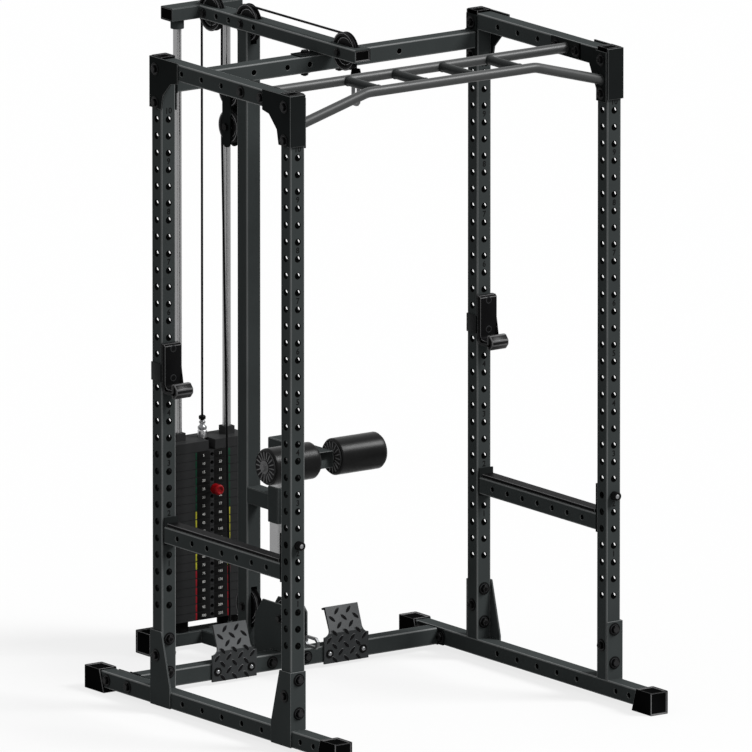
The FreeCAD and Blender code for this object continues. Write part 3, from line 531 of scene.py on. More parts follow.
def hole_sides(skin, place, facing, holes, slots, rim, finish):
    """The rolled lip and the wall of each hole, and the cut sides of each slot."""
    origin = Vector(place(0, 0, 0))
    s_way = Vector(place(1, 0, 0)) - origin
    t_way = Vector(place(0, 1, 0)) - origin
    levels_down = ((hole_radius + rim, 0), (hole_radius, LIP_DEPTH), (hole_radius, tube_wall))
    for centre in holes:
        for angles in hole_steps():
            lip, bend, bottom = ([place(centre + r * math.cos(a), r * math.sin(a), depth)
                                  for a in angles] for r, depth in levels_down)
            first, second = (-(s_way * math.cos(a) + t_way * math.sin(a)) for a in angles)
            skin.face([lip[0], lip[1], bend[1], bend[0]],
                      [facing, facing, second, first], finish)
            skin.face([bend[0], bend[1], bottom[1], bottom[0]],
                      [first, second, second, first], finish)
    for low, high, half in slots:
        for a, b, way in (((low, -half), (high, -half), t_way),
                          ((low, half), (high, half), -t_way),
                          ((low, -half), (low, half), s_way),
                          ((high, -half), (high, half), -s_way)):
            corners = [place(*a, 0), place(*b, 0), place(*b, tube_wall), place(*a, tube_wall)]
            skin.face(corners, way)


print("walls can be cut")

# %% The whole tube
CORNER_STEPS = 5


def wall_place(axis, facing_axis, other, centre, half, sign):
    """Function that turns (along, across, depth) on one wall into a point."""

    def place(s, t, depth):
        spot = [0, 0, 0]
        spot[axis] = s
        spot[other] = centre[other] + t
        spot[facing_axis] = centre[facing_axis] + sign * (half[facing_axis] - depth)
        return spot

    return place


def round_corner(skin, axis, centre, half, ends, su, sv):
    """Quarter round along one edge of a tube, with the ends of its wall."""
    u, v = across(axis)

    def put(s, a, b):
        spot = Vector((0, 0, 0))
        spot[axis], spot[u], spot[v] = s, a, b
        return spot

    round_u = centre[u] + su * (half[u] - tube_corner)
    round_v = centre[v] + sv * (half[v] - tube_corner)
    inner = (centre[u] + su * (half[u] - tube_wall), centre[v] + sv * (half[v] - tube_wall))
    curve = []
    for k in range(CORNER_STEPS + 1):
        turn = math.pi / 2 * k / CORNER_STEPS
        a, b = su * math.cos(turn), sv * math.sin(turn)
        curve.append(((round_u + a * tube_corner, round_v + b * tube_corner), put(0, a, b)))
    for (a, na), (b, nb) in zip(curve, curve[1:]):
        corners = [put(ends[0], *a), put(ends[0], *b), put(ends[1], *b), put(ends[1], *a)]
        # Finish 1 on the rounded edge is a lighter painted highlight.
        skin.face(corners, [na, nb, nb, na], 1)
        for s, way in zip(ends, (-1, 1)):
            skin.face([put(s, *a), put(s, *b), put(s, *inner)], toward(axis, way))


def drilled_tube(skin, low, high, axis, rows=None, slots=None, rim=0.8 * mm, hole_finish=1):
    """Tube between two corner points. rows and slots say, for a direction, what is cut."""
    ends = (low[axis], high[axis])
    centre = [(low[i] + high[i]) / 2 for i in range(3)]
    half = [(high[i] - low[i]) / 2 for i in range(3)]
    u, v = across(axis)
    for facing_axis, other in ((u, v), (v, u)):
        holes = sorted((rows or {}).get(facing_axis, ()))
        cuts = (slots or {}).get(facing_axis, ())
        outer, inner = half[other] - tube_corner, half[other] - tube_wall
        rim_corners = ((-outer, 0), (outer, 0), (inner, tube_wall), (-inner, tube_wall))
        for sign in (-1, 1):
            facing = toward(facing_axis, sign)
            place = wall_place(axis, facing_axis, other, centre, half, sign)
            back = [size - tube_wall for size in half]
            inside = wall_place(axis, facing_axis, other, centre, back, sign)
            wall_skin(skin, place, facing, ends, outer, holes, cuts, rim)
            hole_sides(skin, place, facing, holes, cuts, rim, hole_finish)
            wall_skin(skin, inside, -facing, ends, inner, holes, cuts, 0)
            for s, way in zip(ends, (-1, 1)):
                skin.face([place(s, t, depth) for t, depth in rim_corners], toward(axis, way))
    for su in (-1, 1):
        for sv in (-1, 1):
            round_corner(skin, axis, centre, half, ends, su, sv)


print("tubes can be drilled")

# %% [markdown]
# ## The four uprights
# Each upright has thirty levels of holes from knee to shoulder height, in the front and rear
# walls and in the two side walls. The box of the CAD node gives where the tube stands; the
# levels are the record's own hole pitch.

# %% Uprights
# Finish 1 is a painted highlight on edges, finish 2 a painted shade inside the holes.
painted = (frame_paint, frame_edge_highlight, hole_painted_shade)
UPRIGHTS = [("upright_%s_%s" % (end, side), end, side)
            for side, _ in LEFT_RIGHT for end in ("front", "rear")]

for node, _, _ in UPRIGHTS:
    skin = Skin()
    # The uprights' hole lips take finish 2, the painted shade.
    drilled_tube(skin, *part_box(node), 2, {0: levels, 1: levels}, rim=2 * mm, hole_finish=2)
    upright = hand_in("drilled_" + node, skin, painted, stands_for=node)
print("uprights:", len(upright.data.polygons), "faces each")

# %% [markdown]
# ## Rails
# Two nodes hold a pair of rails each, a left one and a right one. Each pair becomes one mesh,
# and its holes run from side to side. The row of holes in the base rail is for bolting the
# cage to the floor or to another rack.

# %% Base rails and top rails
RAIL_HOLES = {"top_rails": (-200, -100, 0, 100, 200)}
RAIL_HOLES["base_rails"] = (-460, -395) + RAIL_HOLES["top_rails"]


def along_cage(stations):
    """Y of stations given in millimetres from the middle of the cage."""
    return [cage_y + s * mm for s in stations]


for node in ("base_rails", "top_rails"):
    low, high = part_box(node)
    wide = high.z - low.z
    skin = Skin()
    for start in (low.x, high.x - wide):
        # The rails' hole lips keep finish 1, the painted highlight.
        drilled_tube(skin, (start, low.y, low.z), (start + wide, high.y, high.z), 1,
                     {0: along_cage(RAIL_HOLES[node])})
    hand_in("drilled_" + node, skin, painted, stands_for=node)
print("rails made")

# %% [markdown]
# ## Crossbars with bolting flanges
# The base crossbar and the top crossbar end in flanges that were welded on. A flange is a
# small plate with softened edges, and the weld shows as a thin raised bead round the tube.
# A bevelled box makes the plate, since it keeps its edges straight.

# %% Boxes with softened edges
def box_body(low, high):
    """Plain box between two corner points, as a bmesh of its own."""
    low, high = Vector(low), Vector(high)
    body = bmesh.new()
    place = Matrix.Translation((low + high) / 2) @ Matrix.Diagonal((*(high - low), 1))
    bmesh.ops.create_cube(body, size=1, matrix=place)
    return body


def soft_edges(body, width, finish=0, angle=0.5):
    """Bevels the edges that turn by more than an angle, in radians."""
    body.normal_update()
    edges = [e for e in body.edges if e.is_manifold and e.calc_face_angle() > angle]
    bmesh.ops.bevel(body, geom=edges, offset=width, segments=2, affect="EDGES", profile=0.5,
                    material=finish)


def pour(body, into, place=None):
    """Adds a bmesh to another one, moved by a matrix where one is given."""
    if place:
        bmesh.ops.transform(body, matrix=place, verts=body.verts)
    spare = bpy.data.meshes.new("spare")
    body.to_mesh(spare)
    body.free()
    into.from_mesh(spare)
    bpy.data.meshes.remove(spare)


def plate_block(into, low, high, soft=0.8 * mm, place=None):
    """Box with softened edges, added to a bmesh."""
    body = box_body(low, high)
    soft_edges(body, min(soft, min(b - a for a, b in zip(low, high)) * 0.3))
    pour(body, into, place)


print("plates can be made")

# %% Weld beads and the two crossbars
def ring_in_plane(centre, out, up, radius, sides):
    """Ring of points in the plane of two square directions."""
    turns = [math.tau * k / sides for k in range(sides)]
    return [centre + radius * (math.cos(t) * out + math.sin(t) * up) for t in turns]


def weld_bead(skin, outline, size=2.2 * mm, seed=3):
    """Raised bead along a closed outline, with the small ripples that a welder leaves."""
    chance = random.Random(seed)
    spots = []
    for a, b in zip(outline, outline[1:] + outline[:1]):
        count = max(2, int((b - a).length / (2.5 * mm)))
        spots += [a.lerp(b, k / count) for k in range(count)]
    middle_point = sum(spots, Vector()) / len(spots)
    rings = []
    for k, spot in enumerate(spots):
        ahead = (spots[(k + 1) % len(spots)] - spots[k - 1]).normalized()
        up = ahead.cross((spot - middle_point).normalized()).normalized()
        here = size * (0.85 + 0.3 * chance.random())
        rings.append(ring_in_plane(spot, up.cross(ahead), up, here, 6))
    skin.sew((rings[-1:] + rings)[::-1])


def crossbar(node, half_run, y_span, z_span, rows):
    """Tube along X between two flanges that are welded to its ends."""
    low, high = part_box(node)
    name = node + "_tube"
    skin = Skin()
    drilled_tube(skin, (-half_run, y_span[0], z_span[0]), (half_run, y_span[1], z_span[1]), 0,
                 rows)
    hand_in(name, skin, painted, stands_for=node)
    plates = bmesh.new()
    plate_block(plates, low, (-half_run, high.y, high.z))
    plate_block(plates, (half_run, low.y, low.z), high)
    hand_in(name + "_flanges", plates, bracket_paint)
    beads = Skin()
    for side in (-1, 1):
        corners = [(y, z_span[0]) for y in y_span] + [(y, z_span[1]) for y in y_span[::-1]]
        weld_bead(beads, [Vector((side * (half_run - 0.6 * mm), y, z)) for y, z in corners])
    hand_in(name + "_welds", beads, bracket_paint, sharp=80)


flange = 5 * mm
bar_low, bar_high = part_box("base_crossbar")
half_gap = bar_high.x - flange
base_bar_y = along_cage((490, 540))
crossbar("base_crossbar", half_gap, base_bar_y, (bar_low.z, bar_high.z), {})
top_bar_y = [corner.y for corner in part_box("top_crossbar")]
top_bar_z = (1841 * mm, 1891 * mm)
top_bar_holes = [sign * x * mm for x in (60, 140, 260) for sign in (-1, 1)]
crossbar("top_crossbar", half_gap, top_bar_y, top_bar_z, {1: top_bar_holes})
print("crossbars between flanges", round(2 * half_gap, 3), "m apart")

# %% [markdown]
# ## CAD pieces that keep their own mesh
# Brackets, caps and plates already have the right shape. They only lack the softened edges that
# catch the light on a real part. Modifiers add them without touching the mesh: one welds the
# points, one joins flat triangles, one bevels the edges and one evens out the shading.

# %% Softening a CAD node
def soften(node, width, material, slot, edge=-1, segments=2):
    """Bevelled edges and a finish on a CAD node; edge numbers the edges' own finish."""
    piece = nodes[node]
    piece.data.materials.clear()
    for one in listed(material):
        piece.data.materials.append(one)
    piece.data.polygons.foreach_set("use_smooth", [True] * len(piece.data.polygons))
    weld = piece.modifiers.new("weld", "WELD")
    weld.merge_threshold = 0.02 * mm
    join = piece.modifiers.new("join flats", "DECIMATE")
    join.decimate_type = "DISSOLVE"
    join.angle_limit = math.radians(0.5)
    if width:
        bevel = piece.modifiers.new("soft edges", "BEVEL")
        bevel.width = width * mm
        bevel.segments = segments
        bevel.limit_method = "ANGLE"
        bevel.angle_limit = math.radians(32)
        bevel.harden_normals = False
        bevel.use_clamp_overlap = True
        # The bevel takes the edge finish, in most nodes a lighter painted highlight.
        bevel.material = edge
    shade = piece.modifiers.new("even shading", "WEIGHTED_NORMAL")
    shade.keep_sharp = False
    return piece


print("CAD nodes can be softened")

# %% The separate solids of a node
def solids_of(node):
    """The separate solids of a node: the faces of each and its box."""
    mesh = nodes[node].data
    owner = {}

    def root_of(key):
        while owner[key] != key:
            owner[key] = owner[owner[key]]
            key = owner[key]
        return key

    keys = [tuple(round(c * 2e4) for c in v.co) for v in mesh.vertices]
    for key in keys:
        owner[key] = key
    for face in mesh.polygons:
        first = root_of(keys[face.vertices[0]])
        for index in face.vertices[1:]:
            owner[root_of(keys[index])] = first
    groups = {}
    for face in mesh.polygons:
        groups.setdefault(root_of(keys[face.vertices[0]]), []).append(face.index)
    found = []
    for faces in groups.values():
        spots = [mesh.vertices[i].co for f in faces for i in mesh.polygons[f].vertices]
        low = Vector(min(s[i] for s in spots) for i in range(3))
        high = Vector(max(s[i] for s in spots) for i in range(3))
        found.append((faces, low, high))
    return found


def boxes_of(node):
    """The low corner, the high corner and the centre of each solid of a node."""
    return [(low, high, (low + high) / 2) for _, low, high in solids_of(node)]


def paint_solids(node, choose):
    """Gives each solid one of its node's finishes; choose gets the solid's size."""
    for faces, low, high in solids_of(node):
        for f in faces:
            nodes[node].data.polygons[f].material_index = choose(high - low)


print("bolts to place:", len(solids_of("frame_bolts")))

# %% The nodes that are softened
bare_bracket = (bracket_paint, bracket_edge_highlight)
stack_plate = (stack_iron, stack_gap)
SOFTENED = (("base_brackets", 1.2, painted, "frame_paint", 1),
            ("top_brackets", 1.2, bare_bracket, "frame_paint", 1),
            ("safety_liners", 1.5, (liner_plastic, cap_edge_highlight), "liner_plastic", 1),
            ("foot_plates", 0.9, (tread_steel, tread_painted_light), "tread_steel", -1),
            ("tower_base", 1.4, painted, "frame_paint", 1),
            ("crosspiece", 1.4, painted, "frame_paint", 1),
            ("row_cheeks", 1.2, painted, "frame_paint", 1),
            ("roller_bracket", 1.4, painted, "frame_paint", 1),
            ("roller_post", 1.4, rod_chrome, "chrome", -1),
            ("roller_arm", 1.4, (frame_paint, cap_plastic, frame_edge_highlight), "frame_paint", 2),
            ("guide_rods", 0, rod_chrome, "chrome", -1),
            ("stack_buffers", 1.5, buffer_rubber, "buffer_rubber", -1),
            ("head_plate", 1.0, stack_iron, "stack_iron", -1),
            ("resting_plates", 3, stack_plate, "stack_iron", 1),
            ("lifted_plates", 3, stack_plate, "stack_iron", 1),
            ("block_straps", 1.0, (bracket_paint, bolt_black), "frame_paint", -1),
            ("lat_hook", 0.8, (cap_plastic, link_steel), "zinc", -1),
            ("row_hook", 0.8, (cap_plastic, link_steel), "zinc", -1))
for node, width, material, slot, edge in SOFTENED:
    soften(node, width, material, slot, edge)
soften("roller_axle", 2.5, rib_grey, "bolt_black", segments=3)

LONG_SOLID = 100 * mm
paint_solids("block_straps", lambda size: int(size.z <= LONG_SOLID))
paint_solids("roller_arm", lambda size: int(size.y <= LONG_SOLID))
for name in ("lat_hook", "row_hook"):
    longest = max((high - low).length for low, high, _ in boxes_of(name))
    paint_solids(name, lambda size: int(size.length == longest))
# The leaning upper face of each plate gets the lighter finish, painted light for a face that looks
# up.
for face in nodes["foot_plates"].data.polygons:
    face.material_index = int(0.1 < abs(face.normal.z) < 0.9)
print("kept nodes softened:", len(SOFTENED) + 1)

# %% [markdown]
# ## Foot caps and tube plugs
# A cap is a moulded black shoe over the end of a rail. Its inner edge slopes, and its top and
# its end are sunk a little inside a raised rim, whose softened edges carry a painted highlight,
# a thin light outline. A plug closes an open tube and has the same sunk middle. Each CAD solid
# gives the cap's box; which end is the outer one follows from where it stands.

# %% Shoes and plugs with sunk panels
def moulded_cap(into, low, high, outer, border, depth, soft, slope=None):
    """Box with its outer face sunk inside a rim. outer is the face's axis and its way.

    A slope leans the inner end of a shoe, whose top is then sunk as well."""
    cap = box_body(low, high)
    axis, way = outer
    centre = (low + high) / 2
    if slope is not None:
        for vertex in cap.verts:
            if (vertex.co[axis] - centre[axis]) * way < 0 and vertex.co.z > centre.z:
                vertex.co[axis] += way * slope
    for face in list(cap.faces):
        if face.normal[axis] * way > 0.9 or (slope is not None and face.normal.z > 0.9):
            bmesh.ops.inset_region(cap, faces=[face], thickness=border, depth=0)
            for vertex in face.verts:
                vertex.co -= face.normal * depth
    # The softened edges take finish 1, the painted highlight.
    soft_edges(cap, soft, finish=1)
    pour(cap, into)


RAIL_X = 400 * mm
LOW_Z, TOP_Z = 400 * mm, 1900 * mm
shoes = bmesh.new()
for low, high, centre in boxes_of("foot_caps"):
    if abs(centre.x) < RAIL_X:
        outer, slope = (0, math.copysign(1, centre.x)), 0
    else:
        outer, slope = (1, math.copysign(1, centre.y - cage_y)), 23 * mm
    moulded_cap(shoes, low, high, outer, 5 * mm, 4 * mm, 1.9 * mm, slope)
hand_in("moulded_foot_caps", shoes, (cap_plastic, cap_edge_highlight),
        stands_for="foot_caps")

plugs = bmesh.new()
for low, high, centre in boxes_of("tube_plugs"):
    if centre.z > TOP_Z and abs(centre.x) > RAIL_X:
        outer = (2, 1)
    elif centre.z < LOW_Z:
        outer = (0, math.copysign(1, centre.x))
    else:
        outer = (1, -1)
    depth = min(4 * mm, 0.7 * (high - low)[outer[0]])
    moulded_cap(plugs, low, high, outer, 4 * mm, depth, 1.5 * mm)
hand_in("moulded_plugs", plugs, (cap_plastic, cap_edge_highlight), stands_for="tube_plugs")
print("foot caps:", len(solids_of("foot_caps")), "plugs:", len(solids_of("tube_plugs")))

# %% [markdown]
# ## Bolts and nuts
# The frame is held by hex bolts with washers. The CAD part has each head and each nut as a
# plain six-sided block, which says where it is and which way it points. A finer one is set in
# the same place: a washer with a faint lighter ring that is a painted highlight, a head with a
# turned chamfer whose crown is painted lighter as a highlight, and the bolt's end out of the
# nut. The tread plates have round heads instead, which stand flat enough for a foot.

# %% Turned rings and hex heads
def ring_about(centre, way, height, radius, sides):
    """Ring of points round an axis through the centre, at a height along it."""
    way = Vector(way).normalized()
    side_way = way.orthogonal().normalized()
    return ring_in_plane(Vector(centre) + way * height, side_way, way.cross(side_way), radius,
                         sides)


def turned_ring(skin, centre, way, profile, sides=24, finish=0):
    """Surface turned about an axis; profile is (height, radius) pairs in millimetres."""
    skin.sew([ring_about(centre, way, height * mm, radius * mm, sides)
              for height, radius in profile], finish)


def hex_head(skin, centre, way, wide, high, edge=1.6):
    """Six-sided head with a chamfered crown in finish 2, painted lighter as a highlight; sizes in
    millimetres.
    """
    corner = wide / math.sqrt(3)
    sides = ((0, corner), (high - edge, corner), (high, corner - 1.6 * edge))
    turned_ring(skin, centre, way, sides, 6)
    turned_ring(skin, centre, way, (sides[-1], (high, 0.001)), 6, 2)


def washer(skin, centre, way, radius, thick=2, inner=6):
    """Flat washer with a faint lighter ring in finish 1, a painted highlight; sizes in millimetres.
    """
    pressed = (radius + inner) / 2
    turned_ring(skin, centre, way, ((0, radius), (thick - 0.5, radius), (thick, radius - 1.2),
                                    (thick, pressed + 2)))
    turned_ring(skin, centre, way, ((thick, pressed + 2), (thick, pressed)), finish=1)
    turned_ring(skin, centre, way, ((thick, pressed), (thick, inner), (0, inner)))


def round_head(skin, centre, way):
    """Flat round head with a bright domed middle in finish 3."""
    turned_ring(skin, centre, way, ((0, 13), (1.5, 13), (2.5, 11.5), (2.5, 6.5)))
    turned_ring(skin, centre, way, ((2.5, 6.5), (4.5, 5.5), (6, 3), (6.4, 0.1)), finish=3)


print("heads can be turned")

# %% Every bolt of the frame
HEAD_WIDE = 21
NUT_HIGH = 11.5
WASHER_THICK = 2
members = {0: [middle("upright_front_" + side).x for side, _ in LEFT_RIGHT],
           1: [middle("upright_front_left").y, middle("upright_rear_left").y,
               sum(base_bar_y) / 2],
           2: [1866 * mm]}
heads = Skin()
plate_xs = [centre.x for _, _, centre in boxes_of("foot_plates")]
for low, high, centre in boxes_of("frame_bolts"):
    size = high - low
    axis = min(range(3), key=lambda i: size[i])
    member = min(members[axis], key=lambda place: abs(place - centre[axis]))
    way = toward(axis, 1 if centre[axis] > member else -1)
    base = centre - way * size[axis] / 2
    on_tread = any(abs(centre.x - x) < 80 * mm for x in plate_xs)
    if on_tread and way.y < -0.5 and centre.z < 70 * mm:
        round_head(heads, base, way)
        continue
    washer(heads, base, way, 19)
    seat = base + way * WASHER_THICK * mm
    high_mm = size[axis] / mm
    if high_mm > NUT_HIGH:
        hex_head(heads, seat, way, HEAD_WIDE, high_mm - 4)
        turned_ring(heads, seat, way, ((0, 6), (high_mm - 3, 6), (high_mm - 2, 5),
                                       (high_mm - 2, 0.1)), 16)
    else:
        hex_head(heads, seat, way, HEAD_WIDE, high_mm - 2)
hand_in("hex_bolts", heads, (bolt_black, dark_edge_highlight, hub_grey_and_crown_highlight, zinc),
        stands_for="frame_bolts")
print("bolts and nuts:", len(solids_of("frame_bolts")))

# %% Outlines pulled across X
def pulled(into, outline, x0, x1, soft):
    """Solid across X from a side outline of (y, z) points, with softened edges."""
    body = bmesh.new()
    near = [body.verts.new((x0, y, z)) for y, z in outline]
    far = [body.verts.new((x1, y, z)) for y, z in outline]
    body.faces.new(near)
    body.faces.new(far[::-1])
    for k in range(len(outline)):
        body.faces.new((near[k - 1], near[k], far[k], far[k - 1]))
    bmesh.ops.recalc_face_normals(body, faces=body.faces)
    # The softened edges take finish 1, a lighter painted highlight.
    soft_edges(body, soft, finish=1, angle=0.6)
    pour(body, into)


print("outlines can be pulled")

# %% [markdown]
# ## Pull-up grips
# Two round tubes cross the cage under its top. The front one dips at both ends, where it meets
# tall flanges between the front uprights; four rungs join it to the straight rear one. A tube
# swept along a rounded line gives the bends, and each joint gets a weld bead.

# %% Sweeping a round tube
def rounded_line(points, radius, steps=10):
    """Points joined by straight runs, with each corner replaced by an arc."""
    line = [points[0]]
    for before, corner, after in zip(points, points[1:], points[2:]):
        back = (before - corner).normalized()
        ahead = (after - corner).normalized()
        half_turn = (math.pi - back.angle(ahead)) / 2
        reach = radius * math.tan(half_turn)
        centre = corner + (back + ahead).normalized() * radius / math.cos(half_turn)
        start = corner + back * reach - centre
        end = corner + ahead * reach - centre
        for k in range(steps + 1):
            line.append(centre + radius * start.slerp(end, k / steps))
    return line + [points[-1]]


def swept(skin, line, radius, sides=28):
    """Round tube along a line of points, without a twist."""
    side_way = (line[1] - line[0]).orthogonal().normalized()
    rings = []
    for k, spot in enumerate(line):
        ahead = (line[min(k + 1, len(line) - 1)] - line[max(k - 1, 0)]).normalized()
        side_way = (side_way - ahead * side_way.dot(ahead)).normalized()
        rings.append(ring_in_plane(spot, side_way, ahead.cross(side_way), radius, sides))
    skin.sew(rings)
    return rings


def ring_bead(skin, centre, way, radius, size=2.4 * mm, seed=5):
    """Weld bead round a tube, rippled like a row of coins."""
    chance = random.Random(seed)
    centre, way = Vector(centre), Vector(way)
    rings = []
    for out in ring_about((0, 0, 0), way, 0, 1, 48):
        here = size * (0.8 + 0.4 * chance.random())
        rings.append(ring_in_plane(centre + out * radius, out, way, here, 6))
    skin.sew((rings[-1:] + rings)[::-1])


print("tubes can be swept")

# %% Grips, flanges and welds
grip_y = middle("upright_front_left").y
rear_grip_y = cage_y - 150 * mm
grip_z = 1921 * mm
grip_end_z = 1856 * mm
grip_radius = 15 * mm
bend_x = 300 * mm
ends = [Vector((s * half_gap, grip_y, grip_end_z)) for s in (-1, 1)]
bends = [Vector((s * bend_x, grip_y, grip_z)) for s in (-1, 1)]
front_line = rounded_line([ends[0], bends[0], bends[1], ends[1]], 90 * mm)
rear_line = [Vector((s * half_gap, rear_grip_y, grip_z)) for s in (-1, 1)]
grips = Skin()
swept(grips, front_line, grip_radius)
swept(grips, rear_line, grip_radius)
hand_in("round_grips", grips, grip_paint, stands_for="grip_tubes")

ears = bmesh.new()
bracket_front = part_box("top_brackets")[0].y
rail_under, rail_over = (corner.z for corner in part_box("top_rails"))
tip = bracket_front + 142 * mm
for low, high, _ in boxes_of("grip_tubes"):
    outline = [(low.y, high.z), (high.y, high.z), (high.y, rail_over), (tip, rail_over),
               (tip, rail_under), (tip - 52 * mm, rail_under),
               (high.y + 12 * mm, rail_under - 48 * mm), (high.y, rail_under - 70 * mm),
               (high.y, low.z), (low.y, low.z)]
    for x in (low.x, high.x):
        start, stop = (x, x + flange) if x < 0 else (x - flange, x)
        if low.y > bracket_front + 100 * mm:
            plate_block(ears, (start, low.y, low.z), (stop, high.y, high.z), 1 * mm)
        else:
            pulled(ears, outline, start, stop, 1 * mm)
hand_in("grip_flanges", ears, bare_bracket)
soften("grip_rungs", 0, rung_paint, "grip_paint")

beads = Skin()
for k, centre in enumerate(ends + rear_line):
    inside = Vector((math.copysign(2 * mm, centre.x), 0, 0))
    ring_bead(beads, centre - inside, (1, 0, 0), grip_radius, seed=k)
for low, high, _ in boxes_of("grip_rungs"):
    x = (low.x + high.x) / 2
    for y in (grip_y + grip_radius - 1 * mm, rear_grip_y - grip_radius + 1 * mm):
        ring_bead(beads, (x, y, grip_z), (0, 1, 0), 14 * mm, 1.8 * mm,
                  seed=int(x * 1000) % 97)
hand_in("grip_welds", beads, rung_paint, sharp=80)
print("grips swept over", len(front_line), "points")

# %% [markdown]
# ## Tread on the foot plates
# The two foot plates are cut from chequer plate: short raised lozenges at right angles to each
# other, rolled into the sheet. A pattern in the relief alone would vanish at the plate's edge,
# so each lozenge is a small shallow dome on the front face of the plate and on its lip.

# %% Lozenges
LOZENGE_LONG, LOZENGE_WIDE, LOZENGE_HIGH = 14.5 * mm, 5.5 * mm, 1.5 * mm
LOZENGE_ROWS = ((1, 0), (0.9, 0.6), (0.5, 0.95))


def lozenge(skin, centre, along, out):
    """Shallow dome with pointed ends on a surface with the normal out."""
    side_way = out.cross(along)
    rings = []
    for share, lift in LOZENGE_ROWS:
        ring = []
        for k in range(16):
            c, s = math.cos(math.tau * k / 16), math.sin(math.tau * k / 16)
            ring.append(centre + out * (lift * LOZENGE_HIGH)
                        + along * (math.copysign(abs(c) ** 1.3, c) * LOZENGE_LONG * share)
                        + side_way * (s * LOZENGE_WIDE * share))
        rings.append(ring)
    # The outer ring of each lozenge takes finish 1, the painted highlight.
    skin.sew(rings[:2], finish=1)
    skin.sew(rings[1:])
    skin.face(rings[-1])


print("a lozenge is", round(2 * LOZENGE_LONG / mm), "mm long")

# %% Tread of both plates
PLATE_BEND_Z = 100 * mm
plate_lean = math.atan2(27, 75)
tread = Skin()
count = 0
for low, high, plate_centre in boxes_of("foot_plates"):
    for row in range(9):
        for column in range(-2, 3):
            z = 20 * mm + row * 20 * mm
            aside = (column + (0.5 if row % 2 else 0)) * 42 * mm
            half_width = (80 if z < 90 * mm else 59) * mm
            if abs(aside) > half_width - 7 * mm or z > high.z - 8 * mm:
                continue
            if abs(abs(aside) - 60 * mm) < 20 * mm and abs(z - 40 * mm) < 18 * mm:
                continue
            lean = plate_lean if z > PLATE_BEND_Z else 0
            y = low.y + max(0, z - PLATE_BEND_Z) * math.tan(lean)
            out = Vector((0, -math.cos(lean), math.sin(lean)))
            rise = Vector((0, math.sin(lean), math.cos(lean)))
            slant = 1 if row % 2 else -1
            along = (Vector((1, 0, 0)) + slant * rise).normalized()
            lozenge(tread, Vector((plate_centre.x + aside, y, z)), along, out)
            count += 1
hand_in("tread_lozenges", tread, (lozenge_steel, lozenge_rim_highlight), sharp=60)
print("lozenges:", count)

# %% [markdown]
# ## Safety bars and their pins
# A safety bar is a short drilled tube with an end plate at the front and the rear. The front
# plate stands tall and takes the lock pin, the rear one hangs on a peg. The lock pin has a
# ribbed black head with a bright dome in its middle, which one turned outline gives.

# %% Safety bars
SAFETY_Z = (505 * mm, 555 * mm)
SAFETY_HOLES = (-225, -150, -75, 0, 75, 150, 225)
PEG_LONG, PEG_Z, END_PLATE = 40 * mm, 565 * mm, 6 * mm


def peg_profile(long):
    """Outline of a round peg with a chamfered tip; lengths in millimetres."""
    return ((0, 8.3), (long - 2, 8.3), (long, 6.5), (long, 0.1))


def safety_bar(side):
    node = "safety_bar_" + side
    name = "drilled_" + node
    low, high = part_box(node)
    front, rear = low.y, high.y - PEG_LONG
    skin = Skin()
    drilled_tube(skin, (low.x, front + END_PLATE, SAFETY_Z[0]),
                 (high.x, rear - END_PLATE, SAFETY_Z[1]), 1, {0: along_cage(SAFETY_HOLES)})
    hand_in(name, skin, painted, stands_for=node)
    plates = bmesh.new()
    for start, over in ((front, 90 * mm), (rear - END_PLATE, 26 * mm)):
        plate_block(plates, (low.x, start, low.z),
                    (high.x, start + END_PLATE, SAFETY_Z[1] + over), 1 * mm)
    hand_in(name + "_ends", plates, bracket_paint)
    peg = Skin()
    turned_ring(peg, ((low.x + high.x) / 2, rear, PEG_Z), (0, 1, 0), peg_profile(40))
    hand_in(name + "_peg", peg, bolt_black)


def lock_pin(side):
    """Pin with a finger head of five ribs and a bright dome."""
    node = "safety_pin_" + side
    low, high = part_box(node)
    long = (high.y - low.y) / mm
    profile = [(2, 6.5), (2, 10), (0.2, 11), (2, 13)]
    for k in range(5):
        start = 3.2 + k * 3.4
        profile += [(start, 13), (start + 0.8, 12.2), (start + 1.6, 12.2), (start + 2.4, 13)]
    profile += [(21, 13), (22, 12), (22, 8.4), (long - 3, 8.4), (long, 6), (long, 0.1)]
    dome = ((0.2, 0.1), (0.5, 3), (1.2, 5.4), (2, 6.5))
    tip = (middle("safety_bar_" + side).x, low.y, (low.z + high.z) / 2)
    pin = Skin()
    turned_ring(pin, tip, (0, 1, 0), profile, 32)
    turned_ring(pin, tip, (0, 1, 0), dome, 32, 1)
    hand_in("lock_pin_" + side, pin, (bolt_black, zinc), "pin_" + side, node, 50)


for side, _ in LEFT_RIGHT:
    safety_bar(side)
    lock_pin(side)
print("safety bars and pins made")

# %% [markdown]
# ## Bar hooks
# A hook is a flat bar bent into a J, with a peg behind it and a tab round the tube's side. The
# bends are round, since a thick bar can't be folded sharp. A liner of black plastic covers the
# face, and a fat plastic nose covers the lip. Both are outlines in the side view, pulled across
# the hook's width; two sunk screws with a thin collar hold the liner.

# %% Quarter bends in a side view
def bend(y, z, radius, start, stop, steps=7):
    """Points of a quarter bend in the side view, angles in degrees from +Y."""
    turns = [math.radians(start + (stop - start) * k / steps) for k in range(steps + 1)]
    return [(y + radius * math.cos(t), z + radius * math.sin(t)) for t in turns]


def side_view(points):
    """Points in millimetres from the middle of the cage, as an outline in metres."""
    return [(cage_y + y * mm, z * mm) for y, z in points]


print("bends ready")

# %% Outlines of the hook, in millimetres
HOOK_BACK, HOOK_THICK, HOOK_TOP, HOOK_FLOOR = 300, 8, 1101, 955
HOOK_FRONT = HOOK_BACK - HOOK_THICK
HOOK_TIP = HOOK_BACK - 75
HOOK_BEND = 24
HOOK_HALF = 30 * mm
LINER_FACE = HOOK_FRONT - 15
LINER_UNDER = 963.2

